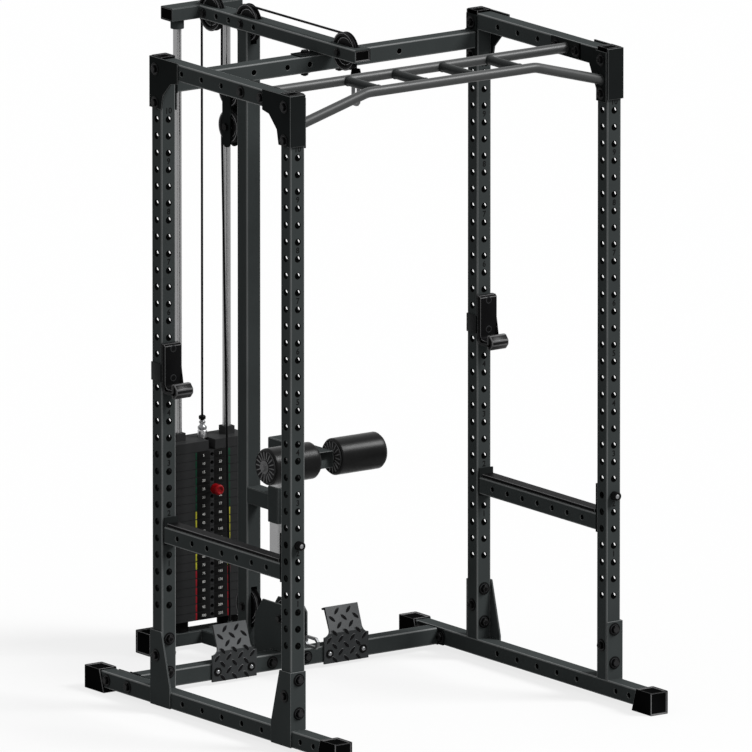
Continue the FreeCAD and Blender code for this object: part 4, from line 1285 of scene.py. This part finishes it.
lip = HOOK_TIP + HOOK_THICK
floor_top = HOOK_FLOOR + HOOK_THICK
bend_y, bend_z = HOOK_BACK - HOOK_BEND, HOOK_FLOOR + HOOK_BEND
steel_outline = ([(HOOK_BACK, HOOK_TOP)]
                 + bend(bend_y, bend_z, HOOK_BEND, 0, -90)
                 + bend(HOOK_TIP + 10, HOOK_FLOOR + 10, 10, -90, -180)
                 + [(HOOK_TIP, 983), (lip, 983), (lip, floor_top + 4), (lip + 4, floor_top)]
                 + bend(bend_y, bend_z, HOOK_BEND - HOOK_THICK, -90, 0)
                 + [(HOOK_FRONT, HOOK_TOP)])
liner_outline = ([(HOOK_FRONT, HOOK_TOP), (LINER_FACE + 6, HOOK_TOP),
                  (LINER_FACE, HOOK_TOP - 6), (LINER_FACE, 990)]
                 + bend(LINER_FACE - 12, 983, 12, 0, -90, 4)
                 + [(lip + 6, 971), (lip + 6, LINER_UNDER), (HOOK_FRONT - 14, LINER_UNDER)]
                 + bend(HOOK_FRONT - 16, LINER_UNDER + 16, 16, -90, 0, 4))
y0, y1, z0, z1 = HOOK_TIP - 8, HOOK_TIP + 20, 946, 990
nose_z = (z0 + z1) / 2
horn_outline = [(y0, nose_z - 7), (y0, nose_z + 7), (y0 + 13, z1), (y1 - 4, z1),
                (y1, z1 - 4), (y1, z0 + 4), (y1 - 4, z0), (y0 + 13, z0)]
COLLAR = ((0, 10.5), (0.7, 10), (0.7, 8.2))
SUNK_HEAD = ((0.7, 8.2), (0.2, 7.6), (0.2, 3.2), (-1, 3), (-1, 0.1))
print("hook outline:", len(steel_outline), "points")

# %% J bars, liners, noses, screws and pegs
for side, _ in LEFT_RIGHT:
    body = "hook_" + side
    x = middle("upright_front_" + side).x
    steel, horn, liner = bmesh.new(), bmesh.new(), bmesh.new()
    pulled(steel, side_view(steel_outline), x - HOOK_HALF, x + HOOK_HALF, 1.3 * mm)
    tab = side_view([(HOOK_FRONT + 1, 985), (HOOK_BACK + 48, 1040)])
    plate_block(steel, (x - HOOK_HALF, *tab[0]), (x - 25.2 * mm, *tab[1]), 1.3 * mm)
    hand_in("bent_hook_" + side, steel, (hook_paint, dark_edge_highlight), body,
            "bar_hook_" + side)
    pulled(horn, side_view(horn_outline), x - HOOK_HALF, x + HOOK_HALF, 3 * mm)
    hand_in("hook_horn_" + side, horn, (horn_plastic, cap_edge_highlight), body)
    inset = HOOK_HALF - 0.4 * mm
    pulled(liner, side_view(liner_outline), x - inset, x + inset, 1.2 * mm)
    hand_in("hook_liner_" + side, liner, (liner_plastic, cap_edge_highlight), body)
    screws = Skin()
    for z in (1086 * mm, 999 * mm):
        spot = (x, cage_y + LINER_FACE * mm, z)
        # The collar takes finish 1, the painted highlight.
        turned_ring(screws, spot, (0, -1, 0), COLLAR, finish=1)
        turned_ring(screws, spot, (0, -1, 0), SUNK_HEAD)
    hand_in("hook_screws_" + side, screws, (bolt_black, dark_edge_highlight), body)
    peg = Skin()
    turned_ring(peg, (x, cage_y + HOOK_BACK * mm, 1065 * mm), (0, 1, 0), peg_profile(40))
    hand_in("hook_peg_" + side, peg, bolt_black, body)
print("bar hooks bent")

# %% [markdown]
# ## The tower's drilled tubes
# The post and the boom are tubes with long slots where a pulley turns inside them. The same
# tube builder cuts them: a slot is a rectangular opening through both walls that face one way.

# %% Post and boom
SLOT_HALF = 11 * mm
SLOT_REACH = 61 * mm
SLOT_END = 1 * mm
BOOM_HALF, BOOM_HIGH = 30 * mm, 40 * mm
SADDLE_HALF = (95 * mm, 25 * mm)
post_low, post_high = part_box("tower_post")
low_pulley_z = middle("low_pulley").z
top_pulley_z = middle("mid_pulley").z
post = Skin()
drilled_tube(post, post_low, post_high, 2, slots={1: [
    (low_pulley_z - SLOT_REACH, low_pulley_z + SLOT_REACH, SLOT_HALF),
    (top_pulley_z - SLOT_REACH, post_high.z - SLOT_END, SLOT_HALF)]})
hand_in("slotted_post", post, painted, stands_for="tower_post")

boom_low, boom_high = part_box("boom")
boom_base = boom_high.z - BOOM_HIGH
cuts = []
for node in ("front_pulley", "mid_pulley", "rear_pulley"):
    y = middle(node).y
    stop = boom_high.y - SLOT_END if node == "rear_pulley" else y + SLOT_REACH
    cuts.append((y - SLOT_REACH, stop, SLOT_HALF))
boom = Skin()
drilled_tube(boom, (-BOOM_HALF, boom_low.y, boom_base), (BOOM_HALF, boom_high.y, boom_high.z),
             1, {0: along_cage((631, 757, 820))}, {2: cuts})
hand_in("slotted_boom", boom, painted, stands_for="boom")
saddle = bmesh.new()
rear_y = middle("upright_rear_left").y
plate_block(saddle, (-SADDLE_HALF[0], rear_y - SADDLE_HALF[1], boom_low.z),
            (SADDLE_HALF[0], rear_y + SADDLE_HALF[1], boom_base), 1 * mm)
hand_in("boom_saddle", saddle, bracket_paint)
print("boom is", round(boom_high.y - boom_low.y, 3), "m long")

# %% [markdown]
# ## Pulleys
# A cable pulley is moulded nylon: a rim with a V groove, a thin web with a step, and a hub
# round a ball bearing. One profile, turned about the axle, gives them all. The bearing's steel
# rings sit a little inside the hub. Each wheel rides on its own body, so it turns with its
# cable; three marks moulded into the web make the turning visible.

# %% Outlines of a pulley, in millimetres
TURN, BLOCK_TURN = 51, 43.5
PULLEYS = (("rear_pulley", "rear_wheel", TURN), ("mid_pulley", "mid_wheel", TURN),
           ("front_pulley", "front_wheel", TURN), ("low_pulley", "low_wheel", TURN),
           ("row_pulley", "row_wheel", TURN),
           ("block_upper_pulley", "block_upper_wheel", BLOCK_TURN),
           ("block_lower_pulley", "block_lower_wheel", BLOCK_TURN))
HUB_RING = ((0, 15), (0.5, 14.5), (0.5, 12.5), (0.1, 12), (0.1, 9.5), (0.5, 9), (0.5, 7),
            (0, 6.4))


def pulley_profile(radius, turn):
    """Outline of the wheel's section, from the bore over the left side to the right."""
    left = [(-6.5, 6.2), (-6.5, 16), (-4, 17), (-4, radius - 15), (-9, radius - 11),
            (-9, radius - 1.5), (-8.2, radius - 0.3), (-7, radius - 0.3),
            (-3.4, turn - 1.6), (-1.8, turn - 3.6)]
    return left + [(-h, r) for h, r in reversed(left)]


def pulley_rings(radius):
    """Raised rings on a side of the wheel: height of the ring, its profile and its sides."""
    return ((9.05, ((-0.3, radius - 2.2), (0.25, radius - 2.8), (0.25, radius - 4.2),
                    (-0.3, radius - 4.8)), 56),
            (4.02, ((0, radius - 16), (0.4, radius - 16.6), (0.4, radius - 17.8),
                    (0, radius - 18.4)), 56),
            (6.5, HUB_RING, 36))


def turned_block(into, spot, turn, low, high, soft):
    """Box drawn about the origin, turned about X and set on a spot."""
    place = Matrix.Translation(spot) @ Matrix.Rotation(turn, 4, "X")
    plate_block(into, low, high, soft, place)


print("pulley outline:", len(pulley_profile(60, TURN)), "points")

# %% Pulley wheels
for node, body, turn in PULLEYS:
    low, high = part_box(node)
    centre = (low + high) / 2
    radius = (high.z - low.z) / 2 / mm
    wheel = Skin()
    turned_ring(wheel, centre, (1, 0, 0), pulley_profile(radius, turn), 56)
    hand_in("turned_" + node, wheel, nylon, body, node)
    rims = Skin()
    for way in (-1, 1):
        for height, profile, sides in pulley_rings(radius):
            face = centre + Vector((way * height * mm, 0, 0))
            turned_ring(rims, face, (way, 0, 0), profile, sides)
    hand_in("rings_of_" + node, rims, rib_silver, body)
    marks = bmesh.new()
    reach = (radius + 2) / 2 * mm
    corner = Vector((0.8 * mm, reach * 0.42, 1.6 * mm))
    for k in range(3):
        angle = math.tau * k / 3 + 0.4
        for way in (-1, 1):
            spot = Vector((way * 4.5 * mm, math.cos(angle) * reach, math.sin(angle) * reach))
            turned_block(marks, centre + spot, angle, -corner, corner, 0.4 * mm)
    hand_in("ribs_of_" + node, marks, nylon, body)
print("pulleys:", len(PULLEYS))

# %% Axle bolts of the fixed pulleys
AXLE_WASHER = 1.6
axles = Skin()
for low, high, centre in boxes_of("pulley_axles"):
    wall = (high.x - low.x) / 2 - 8 * mm
    turned_ring(axles, centre, (1, 0, 0), ((-wall / mm, 5.9), (wall / mm, 5.9)), 20)
    for way in (-1, 1):
        base = centre + Vector((way * wall, 0, 0))
        seat = base + Vector((way * AXLE_WASHER * mm, 0, 0))
        washer(axles, base, (way, 0, 0), 14, AXLE_WASHER)
        hex_head(axles, seat, (way, 0, 0), 19, 6.4)
hand_in("pulley_axle_bolts", axles, (bolt_black, dark_edge_highlight, hub_grey_and_crown_highlight),
        stands_for="pulley_axles")
print("axle bolts:", len(solids_of("pulley_axles")))

# %% [markdown]
# ## Cables
# A cable is a sweep along straight runs and arcs round its pulleys. The lengths over the fixed
# pulleys never change and ride with the frame or the block. Six lengths grow or shrink, two of
# them behind the snap links; these are straight sweeps with rings all along their length, and
# they ride on no body.

# %% Lines of a cable
CABLE_RADIUS = 3.5 * mm


def round_a_pulley(centre, radius, start, turn, steps=28):
    """Points of an arc about a pulley, angles in degrees from +Y."""
    return [Vector((0, centre.y + radius * math.cos(a), centre.z + radius * math.sin(a)))
            for a in (math.radians(start + turn * k / steps) for k in range(steps + 1))]


def straight(a, b, step=12 * mm):
    """Evenly spaced points from a to b."""
    count = max(2, math.ceil((b - a).length / step))
    return [a.lerp(b, k / count) for k in range(count + 1)]


def joined(*runs):
    """Runs one after the other, without doubled points."""
    line = [runs[0][0]]
    for spot in (spot for run in runs for spot in run):
        if (spot - line[-1]).length > 0.01 * mm:
            line.append(spot)
    return line


def cable_piece(name, lines, body, node):
    """Swept cable along each line, closed at both ends."""
    skin = Skin()
    for line in lines:
        rings = swept(skin, line, CABLE_RADIUS, 12)
        skin.face(rings[0][::-1])
        skin.face(rings[-1])
    return hand_in(name, skin, cable_coat, body, node, 60)


def in_middle(y, z):
    """Point in the middle plane of the cage."""
    return Vector((0, y, z))


print("cable is", round(2 * CABLE_RADIUS / mm), "mm thick")

# %% Lengths over the pulleys
turn, block_turn = TURN * mm, BLOCK_TURN * mm
at = {node: middle(node) for node, _, _ in PULLEYS}
over = at["mid_pulley"].z + turn
under = at["low_pulley"].z - turn
over_rear = round_a_pulley(at["rear_pulley"], turn, 0, 180)
over_front = joined(round_a_pulley(at["mid_pulley"], turn, 0, 90),
                    straight(in_middle(at["mid_pulley"].y, over),
                             in_middle(at["front_pulley"].y, at["front_pulley"].z + turn)),
                    round_a_pulley(at["front_pulley"], turn, 90, 90))
cable_piece("lat_cable_over_pulleys", [over_rear, over_front], "frame", "top_cable")
under_low = joined(round_a_pulley(at["low_pulley"], turn, 0, -90),
                   straight(in_middle(at["low_pulley"].y, under),
                            in_middle(at["row_pulley"].y, under)))
cable_piece("row_cable_under_pulley", [under_low], "frame", "low_cable")
loops = [round_a_pulley(at["block_lower_pulley"], block_turn, 0, 180),
         round_a_pulley(at["block_upper_pulley"], block_turn, 0, -180)]
cable_piece("cable_round_block", loops, "floating_block", "block_cable_loops")
print("cable over the boom:", len(over_front), "rings")

# %% Lengths that grow and shrink
lat_y = at["front_pulley"].y - turn
rear_run = at["rear_pulley"].y - turn
front_run = at["mid_pulley"].y + turn
stack_run = at["rear_pulley"].y + turn
block_rear, block_front = (at["block_upper_pulley"].y + way * block_turn for way in (1, -1))
high_z, low_z = at["block_upper_pulley"].z, at["block_lower_pulley"].z
anchor_y, anchor_z = cage_y + 794 * mm, 100 * mm
RUNS = (("lat_end", None, "lat_end",
         [(lat_y, at["front_pulley"].z, lat_y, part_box("lat_hook")[1].z)]),
        ("row_end", None, "row_end",
         [(at["row_pulley"].y, under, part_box("row_hook")[1].y, under)]),
        ("stack_run", "stack_cable_run", "stack",
         [(stack_run, top_pulley_z, stack_run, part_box("selector_rod")[1].z)]),
        ("block_runs", "block_cable_runs", "floating_block",
         [(rear_run, top_pulley_z, block_rear, high_z),
          (front_run, top_pulley_z, block_front, high_z)]),
        ("row_run", "low_cable_run", "floating_block",
         [(front_run, low_pulley_z, block_front, low_z)]),
        ("anchor_run", "anchor_cable_run", "floating_block",
         [(anchor_y, anchor_z, block_rear, low_z)]))
for name, node, body, places in RUNS:
    pairs = [(in_middle(y0, z0), in_middle(y1, z1)) for y0, z0, y1, z1 in places]
    piece = cable_piece("cable_" + name, [straight(a, b) for a, b in pairs], None, node)
    fixed, moving = pairs[0]
    if fixed.z == moving.z:
        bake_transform(piece)
    else:
        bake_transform(piece)
    print(piece.name, "runs", round((fixed - moving).length, 3), "m")

# %% [markdown]
# ## The weight stack's labels
# Each plate shows a number, in two columns on a dark strip down the middle, and a small
# coloured bar on each side of it: green for the light plates, yellow for the middle ones and
# red for the heavy ones. The labels ride with the plates that the pin lifts, or stay below.

# %% Printed inks and flat numbers
def label_ink(name, dark, light):
    finish = Finish(name)
    fibres = grain(finish, 900, 2)
    return finish.surface(Base_Color=tones(finish, dark, light, fibres),
                          Specular_IOR_Level=0.08,
                          Roughness=0.5 + 0.15 * (fibres - 0.5))


label_black = label_ink("label_black", (0.0015, 0.0015, 0.0015), (0.003, 0.003, 0.003))
number_ink = label_ink("level_number_ink", (0.001, 0.001, 0.001), (0.002, 0.002, 0.002))
label_white = label_ink("label_white", (0.5, 0.5, 0.48), (0.66, 0.66, 0.64))
INKS = {"green": label_ink("label_green", (0.003, 0.03, 0.016), (0.005, 0.04, 0.02)),
        "yellow": label_ink("label_yellow", (0.3, 0.29, 0.02), (0.38, 0.36, 0.03)),
        "red": label_ink("label_red", (0.2, 0.006, 0.012), (0.26, 0.01, 0.017))}
facing_front = Matrix.Rotation(math.pi / 2, 4, "X")


def flat_number(into, text, size, centre, bold=0.0):
    """A number as flat outlines that face the front, centred on a point."""
    curve = bpy.data.curves.new("number", "FONT")
    curve.body = text
    curve.size = size
    curve.align_x = "CENTER"
    curve.align_y = "CENTER"
    curve.resolution_u = 3
    curve.offset = bold
    holder = bpy.data.objects.new("number", curve)
    bpy.context.scene.collection.objects.link(holder)
    bpy.context.view_layer.update()
    graph = bpy.context.evaluated_depsgraph_get()
    shape = bpy.data.meshes.new_from_object(holder.evaluated_get(graph))
    shape.transform(Matrix.Translation(centre) @ facing_front)
    into.from_mesh(shape)
    bpy.data.meshes.remove(shape)
    bpy.data.objects.remove(holder)
    bpy.data.curves.remove(curve)


print("inks:", 3 + len(INKS))

# %% Label strips, coloured bars and numbers
FIRST_YELLOW, FIRST_RED = 7, 14
KILOS, POUNDS = 5, 11
plates = [(low, high, body) for node, body in (("resting_plates", "frame"),
                                               ("lifted_plates", "stack"))
          for _, low, high in solids_of(node)]
plates.sort(key=lambda plate: -plate[0].z)


def sticker(into, x0, x1, plate, half_high):
    """Thin label on the front of a plate, let into it by a quarter of a millimetre."""
    low, high, _ = plate
    z = (low.z + high.z) / 2
    plate_block(into, (x0, low.y - 0.25 * mm, z - half_high),
                (x1, low.y + 0.3 * mm, z + half_high), 0.1 * mm)


for body, group in (("frame", "resting"), ("stack", "lifted")):
    strip, numbers = bmesh.new(), bmesh.new()
    bars = {ink: bmesh.new() for ink in INKS}
    for k, plate in enumerate(plates):
        if plate[2] != body:
            continue
        for x0, x1 in ((-54 * mm, -7 * mm), (7 * mm, 54 * mm)):
            sticker(strip, x0, x1, plate, 12 * mm)
        z = (plate[0].z + plate[1].z) / 2
        for x, worth in ((-30 * mm, KILOS * (k + 1)), (30 * mm, POUNDS * (k + 1))):
            spot = Vector((x, plate[0].y - 0.3 * mm, z))
            flat_number(numbers, str(worth), 11 * mm, spot)
        ink = "green" if k < FIRST_YELLOW else "yellow" if k < FIRST_RED else "red"
        for x, half in ((-57 * mm, 2.5 * mm), (60 * mm, 5 * mm)):
            sticker(bars[ink], x - half, x + half, plate, 11 * mm)
    hand_in("label_strip_" + group, strip, label_black, body)
    hand_in("plate_numbers_" + group, numbers, label_white, body)
    for ink, bar in bars.items():
        if bar.verts:
            hand_in("plate_bars_%s_%s" % (ink, group), bar, INKS[ink], body)
print("labelled plates:", len(plates))

# %% [markdown]
# ## Selector pin
# The pin's red knob is turned plastic with finger grooves; its steel pin goes into the stack.

# %% Selector pin
low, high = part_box("selector_pin")
tip = (0, low.y, (low.z + high.z) / 2)
long = (high.y - low.y) / mm
knob = Skin()
turned_ring(knob, tip, (0, 1, 0),
            ((4, 0.1), (4, 7.5), (0.5, 9.5), (0, 11), (1.5, 14), (4, 15.5), (8, 16),
             (11, 14.6), (15, 14.2), (19, 14.8), (24, 16), (28, 15.6), (30, 13.5), (30, 5)), 36)
hand_in("selector_knob", knob, knob_red, "selector", "selector_pin", 50)
shank = Skin()
turned_ring(shank, tip, (0, 1, 0), ((30, 5), (long - 3, 5), (long, 3), (long, 0.1)), 20)
hand_in("selector_shank", shank, rod_chrome, "selector")
print("selector pin made")

# %% [markdown]
# ## Cable fitting on the selector rod
# The rod that carries the plates ends above the top plate in a bright threaded sleeve, a lock
# nut, a swivel neck and a dark ferrule where the cable is crimped. Each has its own turned
# outline, measured up from the bottom of the rod or from the top of the plate.

# %% Selector rod and fitting
low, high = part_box("selector_rod")
start = Vector(((low.x + high.x) / 2, (low.y + high.y) / 2, low.z))
plate_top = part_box("head_plate")[0].z + 30 * mm
head = (plate_top - low.z) / mm
end = (high.z - low.z) / mm


def over_head(profile):
    """Profile whose heights are measured from the top of the plate."""
    return [(head + height, radius) for height, radius in profile]


fitting = Skin()
turned_ring(fitting, start, (0, 0, 1), [(0, 0.1), (0, 8), (2, 10)] + over_head(
    [(-1, 10), (-1, 14), (20, 14), (22, 12), (22, 9)]), 32, 1)
turned_ring(fitting, start, (0, 0, 1), over_head(
    [(22, 9), (25, 9), (25, 13.5), (31, 13.5), (36, 8), (42, 6.5), (42, 9.5), (47, 9.5),
     (49, 7), (52, 5)]), 32)
hand_in("selector_fitting", fitting, (zinc, sleeve_chrome), "stack", "selector_rod")
ferrule = Skin()
turned_ring(ferrule, start, (0, 0, 1), over_head([(52, 5), (53, 9), (56, 10.5)]) + [
    (end - 3, 10.5), (end, 8), (end, 0.1)], 28)
hand_in("cable_ferrule", ferrule, bolt_black, "stack")
print("fitting stands", round(end - head), "mm over the top plate")

# %% [markdown]
# ## Leg roller
# Two foam sleeves turn on a bar and hold the knees down. Foam is soft, so its edge is round
# and its skin isn't quite even; the plastic cap at each end has ribs from the hub to the rim.
# The bolt in the middle belongs to the bar, so it rides with the carriage and doesn't turn.

# %% Outlines of the roller, in millimetres
FOAM_BORE, FOAM_RIM, EDGE_ROUND, FOAM_WAVES = 15, 46, 6, 12
CAP_PROFILE = ((-0.5, 48), (1.5, 49), (4, 48.4), (4.4, 46.5), (2, 45.5), (2, 21), (4.6, 20),
               (4.6, 13), (0, 12.7))
HUB_PROFILE = ((0, 12.5), (1.6, 12.5), (2.4, 9), (5.5, 6.5), (7, 3), (7.2, 0.1))
RIB_COUNT = 18


def foam_profile(x0, x1, sign):
    """Outline of a sleeve between two ends, with rounded rims and an uneven skin."""
    chance = random.Random(11)
    turns = [math.pi / 2 * k / 4 for k in range(5)]
    rim = [(EDGE_ROUND * (1 - math.cos(t)), 48.8 + EDGE_ROUND * math.sin(t)) for t in turns]
    skin = [(x0 + (x1 - x0) * k / FOAM_WAVES, 54.6 + 0.3 * chance.random())
            for k in range(1, FOAM_WAVES)]
    return ([(x0, FOAM_BORE), (x0, FOAM_RIM)] + [(x0 + sign * inset, r) for inset, r in rim]
            + skin + [(x1 - sign * inset, r) for inset, r in rim[::-1]]
            + [(x1, FOAM_RIM), (x1, FOAM_BORE)])


print("ribs on each cap:", RIB_COUNT)

# %% Foam sleeves, ribbed caps and bolts
roller_centre = middle("roller_axle")


def on_roller(x):
    """Point on the rollers' axis."""
    return Vector((x * mm, roller_centre.y, roller_centre.z))


for side, sign in LEFT_RIGHT:
    low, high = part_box("foam_roller_" + side)
    body = "foam_" + side
    inner, outer = (high.x, low.x) if sign < 0 else (low.x, high.x)
    x0, x1 = inner / mm + sign * 5, outer / mm - sign * 5
    foam = Skin()
    turned_ring(foam, on_roller(0), (1, 0, 0), foam_profile(x0, x1, sign), 72)
    sleeve = hand_in("foam_sleeve_" + side, foam, roller_foam, body,
                     "foam_roller_" + side, 60)
    hub = Skin()
    turned_ring(hub, on_roller(x1 + sign * 4.6), (sign, 0, 0), HUB_PROFILE, 28)
    hand_in("roller_hub_" + side, hub, hub_grey_and_crown_highlight, "roller_carriage", sharp=60)
    caps, ribs = Skin(), bmesh.new()
    rib_low, rib_high = (Vector(c) * mm for c in ((-1.4, 19, -1.7), (1.4, 46.5, 1.7)))
    for face, way in ((x0, -sign), (x1, sign)):
        turned_ring(caps, on_roller(face), (way, 0, 0), CAP_PROFILE, 60)
        for k in range(RIB_COUNT):
            turned_block(ribs, on_roller(face + way * 2.6), math.tau * k / RIB_COUNT,
                         rib_low, rib_high, 0.5 * mm)
    hand_in("roller_caps_" + side, caps, roller_cap, body)
    hand_in("roller_ribs_" + side, ribs, rib_grey, body)
print("rollers made")

# %% Sprung knob of the roller post
low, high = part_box("sleeve_knob")
long = (high.x - low.x) / mm
pull = Skin()
turned_ring(pull, (low.x, (low.y + high.y) / 2, (low.z + high.z) / 2), (1, 0, 0),
            ((0, 5), (long - 20, 5), (long - 20, 12), (long - 17, 14.6), (long - 12, 13.2),
             (long - 6, 14.8), (long - 1.5, 14), (long, 11), (long, 0.1)), 36)
hand_in("roller_pull_knob", pull, cap_plastic, "pull_knob", "sleeve_knob")
print("sprung knob is", round(long), "mm long")

# %% [markdown]
# ## Level numbers on the uprights
# Every third space between two holes carries a small number, so that both hooks go to the same
# level. The numbers are printed, so they are flat outlines a hair in front of the tube.

# %% Level numbers
NUMBERS = 10
for node, end, side in UPRIGHTS:
    low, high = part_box(node)
    marks = bmesh.new()
    for k in range(NUMBERS):
        spot = Vector(((low.x + high.x) / 2, low.y - 0.1 * mm, (440 + 150 * k) * mm))
        flat_number(marks, str(k + 1), 24 * mm, spot, 0.6 * mm)
    hand_in("level_numbers_%s_%s" % (end, side), marks, number_ink)
print("level numbers:", NUMBERS * len(UPRIGHTS))

# %% [markdown]
# ## Floor, light and camera
# The floor is a large pale sheet. To the camera and in reflections most of its brightness is
# its own, so that it reads as paper white while the object's shadow still darkens it; to the
# light that bounces it is a plain grey. One broad sun and an even sky give soft studio light
# that is the same over the whole floor.

# %% Floor
SKY_LIGHT, PAPER_GLOW = 0.7, 0.78


def watched_rays(tree):
    """Output that is 1 for what the camera sees, straight, in a mirror or through glass."""
    rays = tree.nodes.new("ShaderNodeLightPath")
    watched = rays.outputs["Is Camera Ray"]
    for kind in ("Is Glossy Ray", "Is Transmission Ray"):
        either = tree.nodes.new("ShaderNodeMath")
        either.use_clamp = True
        tree.links.new(watched, either.inputs[0])
        tree.links.new(rays.outputs[kind], either.inputs[1])
        watched = either.outputs[0]
    return watched


def choose(tree, plain, seen, output):
    """Shader that is plain for bounced light and another one for watched rays."""
    choice = tree.nodes.new("ShaderNodeMixShader")
    for k, source in enumerate((watched_rays(tree), plain, seen)):
        tree.links.new(source, choice.inputs[k])
    tree.links.new(choice.outputs[0], tree.nodes[output].inputs["Surface"])


def paper_floor():
    finish = Finish("paper_floor")
    clouds = grain(finish, 1.2, 3)
    grey = tones(finish, (0.2, 0.2, 0.2), (0.21, 0.21, 0.21), clouds)
    finish.surface(Base_Color=grey, Roughness=0.9)
    paper = finish.node("ShaderNodeBsdfDiffuse", None, {"Color": (0.13, 0.13, 0.13, 1)})
    glow = finish.node("ShaderNodeEmission", None, {"Strength": PAPER_GLOW})
    both = finish.node("ShaderNodeAddShader", None, {0: paper, 1: glow})
    choose(finish.tree, finish.shader.outputs[0], both.output, "Material Output")
    return finish.material


sheet = bpy.data.meshes.new("floor")
far = 90
sheet.from_pydata([(-far, -far, 0), (far, -far, 0), (far, far, 0), (-far, far, 0)], [],
                  [(0, 1, 2, 3)])
floor = bpy.data.objects.new("floor", sheet)
bpy.context.scene.collection.objects.link(floor)
sheet.materials.append(paper_floor())
print("floor is", 2 * far, "m wide")

# %% Sky
world = bpy.data.worlds.new("studio_sky")
bpy.context.scene.world = world
world.use_nodes = True
sky = world.node_tree
even = sky.nodes["Background"]
white = sky.nodes.new("ShaderNodeBackground")
for background, strength in ((even, SKY_LIGHT), (white, 1)):
    background.inputs["Color"].default_value = (1, 1, 1, 1)
    background.inputs["Strength"].default_value = strength
choose(sky, even.outputs[0], white.outputs[0], "World Output")
print("sky at", SKY_LIGHT)

# %% Sun
def sun(name, toward_lamp, strength, angle):
    """Sun that shines from a direction; a wide angle makes its shadows soft."""
    lamp = bpy.data.lights.new(name, "SUN")
    lamp.energy = strength
    lamp.angle = math.radians(angle)
    holder = bpy.data.objects.new(name, lamp)
    bpy.context.scene.collection.objects.link(holder)
    holder.rotation_mode = "QUATERNION"
    holder.rotation_quaternion = Vector(toward_lamp).to_track_quat("Z", "Y")


sun("key", (0.76, -0.75, 1.1), 4.2, 22)
print("one sun")

# %% [markdown]
# ## The camera
# It looks at the cage from its front left corner, a little from above, and from so far away
# that parallel edges stay parallel. The lens is long to match.

# %% Camera
azimuth = math.radians(35.44)
elevation = math.radians(12.58)
AIM_ASIDE, AIM_UP = 0.03068, 0.9582
DISTANCE, SEEN_WIDTH = 100, 2.1975
right = Vector((math.cos(azimuth), -math.sin(azimuth), 0))
forward = Vector((math.sin(azimuth) * math.cos(elevation),
                  math.cos(azimuth) * math.cos(elevation), -math.sin(elevation)))
up = right.cross(forward)
aim = Vector((0, cage_y, 0)) - right * AIM_ASIDE + up * AIM_UP
lens = bpy.data.cameras.new("camera")
lens.lens = lens.sensor_width * DISTANCE / SEEN_WIDTH
lens.clip_start = 10
lens.clip_end = 500
camera = bpy.data.objects.new("camera", lens)
bpy.context.scene.collection.objects.link(camera)
camera.location = aim - forward * DISTANCE
camera.rotation_mode = "QUATERNION"
camera.rotation_quaternion = Matrix((right, up, -forward)).transposed().to_quaternion()
bpy.context.scene.camera = camera
bpy.context.scene.view_settings.view_transform = "Standard"
print("camera at", [round(c, 2) for c in camera.location])
